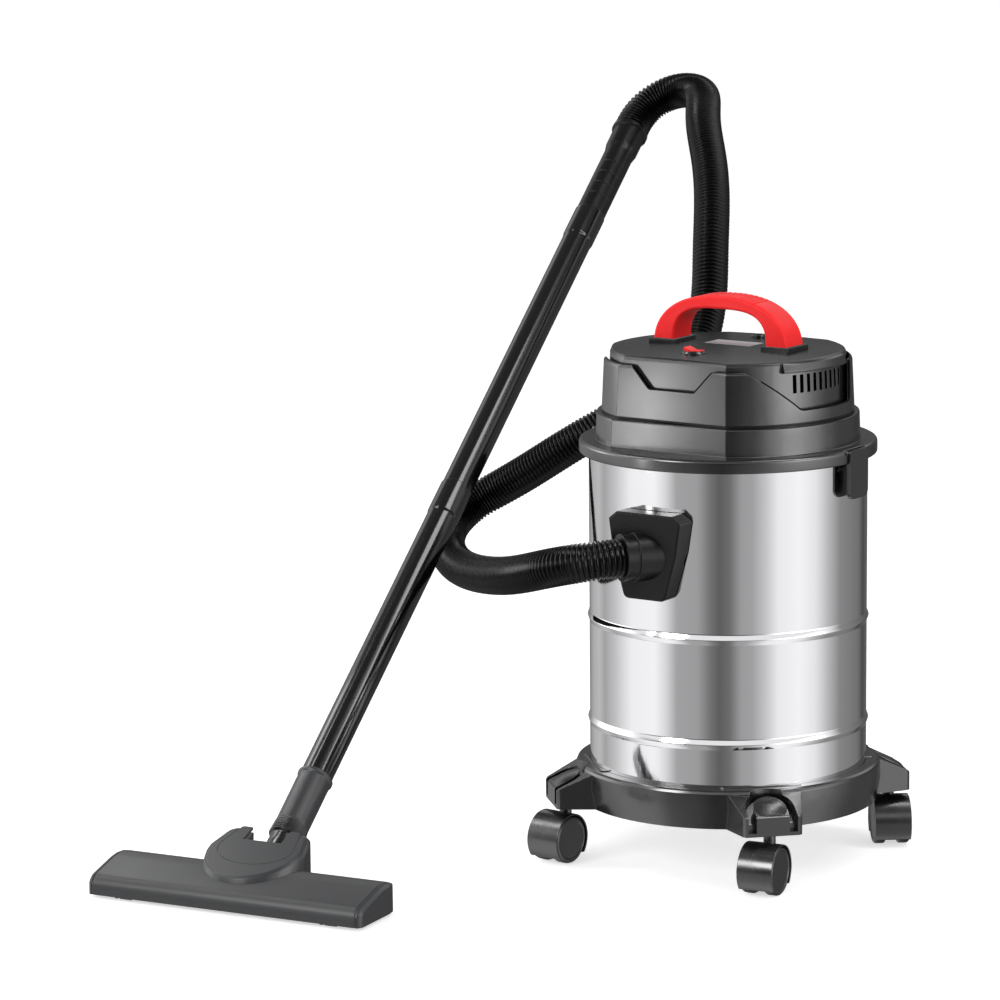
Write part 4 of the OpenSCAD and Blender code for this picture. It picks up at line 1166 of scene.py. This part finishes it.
@dataclass
class Studio:
    """Pale floor, soft light from cards around the object, and the camera."""

    eye: tuple[float, float, float] = (2.472, -4.114, 1.240)
    heading: float = 33.938  # degrees to the left of +Y
    pitch: float = 10.067  # degrees below level
    roll: float = -0.514
    lens: float = 162.44  # in millimetres
    sensor: float = 36.0  # in millimetres
    far: float = 200.0  # the camera sees no farther
    floor_radius: float = 40.0
    floor_colour: str = "E6E6E6"
    floor_lift: float = 0.6  # brightness that only the camera sees
    ceiling: float = 0.22  # brightness overhead, between the lamps
    # Heights of a line of sight, from -1 down to 1 up, over which one light passes into the next.
    to_high_cards: tuple[float, float] = (-0.14, -0.05)
    to_plain: tuple[float, float] = (0.28, 0.42)
    to_ceiling: tuple[float, float] = (0.55, 0.68)
    softboxes: tuple[Softbox, ...] = (
        Softbox("overhead_softbox", (1.5, 0.4, 2.9), (-0.1, 0.0, 0.4), 0.5, 2.2, 26.0),
        Softbox("left_softbox", (-1.8, -0.9, 2.3), (-0.1, 0.0, 0.4), 0.35, 1.6, 14.0),
        Softbox("front_softbox", (-0.9, -3.2, 1.9), (-0.1, 0.0, 0.4), 1.2, 1.2, 45.0),
        Softbox("strip_softbox", (-0.246, -0.468, 0.458), (-0.04, -0.125, 0.49), 0.04, 0.14, 0.17),
        Softbox("nozzle_softbox", (-0.8, -0.25, 0.5), (-0.42, -0.45, 0.05), 0.2, 0.2, 0.45),
    )

    def camera(self) -> None:
        """Set the camera."""
        h, p, r = (math.radians(v) for v in (self.heading, self.pitch, self.roll))
        ahead = Vector((-math.sin(h) * math.cos(p), math.cos(h) * math.cos(p), -math.sin(p)))
        right = ahead.cross(Vector((0, 0, 1))).normalized()
        up = right.cross(ahead)
        right, up = right * math.cos(r) + up * math.sin(r), up * math.cos(r) - right * math.sin(r)
        data = bpy.data.cameras.new("studio_camera")
        data.lens, data.sensor_width, data.clip_end = self.lens, self.sensor, self.far
        camera = bpy.data.objects.new("studio_camera", data)
        bpy.context.scene.collection.objects.link(camera)
        turn = Matrix((right, up, -ahead)).transposed().to_4x4()
        camera.matrix_world = Matrix.Translation(self.eye) @ turn
        bpy.context.scene.camera = camera

    def low_cards(self) -> Profile:
        """Return the low cards, which upright metal mirrors, as degrees from the front and level."""
        return [
            (-180, 0.08), (-140, 0.2), (-118, 0.5), (-104, 0.6), (-93, 0.45), (-76, 0.68),
            (-56, 1.1), (-32, 1.15), (-22, 0.88), (-12, 0.46), (6, 0.42), (16, 0.22),
            (24, 0.14), (33, 0.2), (42, 0.42), (51, 0.45), (62, 0.7), (73, 1.05), (92, 1.16),
            (108, 1.0), (122, 0.6), (137, 0.3), (168, 0.2), (180, 0.08),
        ]

    def high_cards(self) -> Profile:
        """Return the cards above them, which give mouldings their sheen, in the same way."""
        return [
            (-180, 0.12), (-150, 0.1), (-122, 0.3), (-104, 1.0), (-94, 2.4), (-70, 2.4),
            (-42, 0.5), (-28, 0.15), (0, 0.08), (30, 0.03), (46, 0.1), (60, 0.45), (70, 1.7),
            (80, 3.6), (90, 4.6), (103, 3.2), (120, 1.2), (137, 0.3), (160, 0.2), (180, 0.12),
        ]

    def world(self) -> None:
        """Light the object from upright cards all around and a soft card above."""
        world = bpy.data.worlds.new("studio_cards")
        bpy.context.scene.world = world
        world.use_nodes = True
        tree = world.node_tree
        tree.nodes.clear()
        way = add(tree, "ShaderNodeTexCoord").outputs["Generated"]
        parts = add(tree, "ShaderNodeSeparateXYZ", links={0: way})
        front = add(
            tree, "ShaderNodeMath", {"operation": "MULTIPLY", 1: -1.0}, {0: parts.outputs["Y"]}
        )
        angle = add(
            tree,
            "ShaderNodeMath",
            {"operation": "ARCTAN2"},
            {0: parts.outputs["X"], 1: front.outputs[0]},
        )
        share = add(
            tree,
            "ShaderNodeMapRange",
            {"From Min": -math.pi, "From Max": math.pi},
            {"Value": angle.outputs[0]},
        )
        rings = []
        for cards in (self.low_cards(), self.high_cards()):
            brightest = max(level for _, level in cards)
            ramp = add(tree, "ShaderNodeValToRGB", links={0: share.outputs["Result"]})
            stops = ramp.color_ramp.elements
            for k, (degrees, level) in enumerate(cards):
                place = (degrees + 180) / 360
                stop = stops[k] if k < 2 else stops.new(place)
                stop.position = place
                stop.color = (*[level / brightest] * 3, 1.0)
            ring = add(
                tree,
                "ShaderNodeBackground",
                {"Strength": brightest},
                {"Color": ramp.outputs["Color"]},
            )
            rings.append(ring.outputs[0])
        plain, ceiling = (
            add(tree, "ShaderNodeBackground", {"Strength": level, "Color": linear(WHITE)})
            for level in (1.0, self.ceiling)
        )
        lit = rings[0]
        for (low, high), upper in (
            (self.to_high_cards, rings[1]),
            (self.to_plain, plain.outputs[0]),
            (self.to_ceiling, ceiling.outputs[0]),
        ):
            rise = add(
                tree,
                "ShaderNodeMapRange",
                {"From Min": low, "From Max": high, "interpolation_type": "SMOOTHSTEP"},
                {"Value": parts.outputs["Z"]},
            )
            lit = add(
                tree, "ShaderNodeMixShader", links={0: rise.outputs["Result"], 1: lit, 2: upper}
            ).outputs[0]
        seen = add(tree, "ShaderNodeLightPath").outputs["Is Camera Ray"]
        shown = add(
            tree, "ShaderNodeMixShader", links={0: seen, 1: lit, 2: plain.outputs[0]}
        )
        add(tree, "ShaderNodeOutputWorld", links={0: shown.outputs[0]})

    def floor(self) -> None:
        """Lay the pale floor, which the metal doesn't mirror."""
        steps = 96
        edge = self.floor_radius / MM
        ring = [
            (edge * math.cos(2 * math.pi * k / steps), edge * math.sin(2 * math.pi * k / steps), 0)
            for k in range(steps)
        ]
        floor = piece_of("studio_floor", ring, [tuple(range(steps))])
        paint = bpy.data.materials.new("floor_matt_white")
        paint.use_nodes = True
        tree = paint.node_tree
        shader = tree.nodes["Principled BSDF"]
        shader.inputs["Base Color"].default_value = linear(self.floor_colour)
        shader.inputs["Roughness"].default_value = 0.9
        seen = add(tree, "ShaderNodeLightPath").outputs["Is Camera Ray"]
        brighten = {"operation": "MULTIPLY", 1: self.floor_lift}
        lift = add(tree, "ShaderNodeMath", brighten, {0: seen})
        shader.inputs["Emission Color"].default_value = linear(WHITE)
        tree.links.new(lift.outputs[0], shader.inputs["Emission Strength"])
        floor.data.materials.append(paint)
        floor.visible_glossy = False

    def build(self) -> None:
        """Set the light and the floor."""
        self.world()
        self.floor()
        for softbox in self.softboxes:
            softbox.hang()


def main() -> None:
    """Build the camera and the hose, then the rest of the vacuum and its studio."""
    studio = Studio()
    studio.camera()
    Hose().build()
    bpy.context.scene.view_settings.view_transform = "Standard"
    casters = [Caster(c) for c in ("front_left", "front_right", "rear_left", "rear_right")]
    for part in (Tank(), Base(), *casters, Inlet(), Wand(), Nozzle(), Head(), Handle(), MotorUnit()):
        part.build()
    studio.build()


if __name__ == "__main__":
    logging.basicConfig(level=logging.INFO, format="%(message)s")
    main()
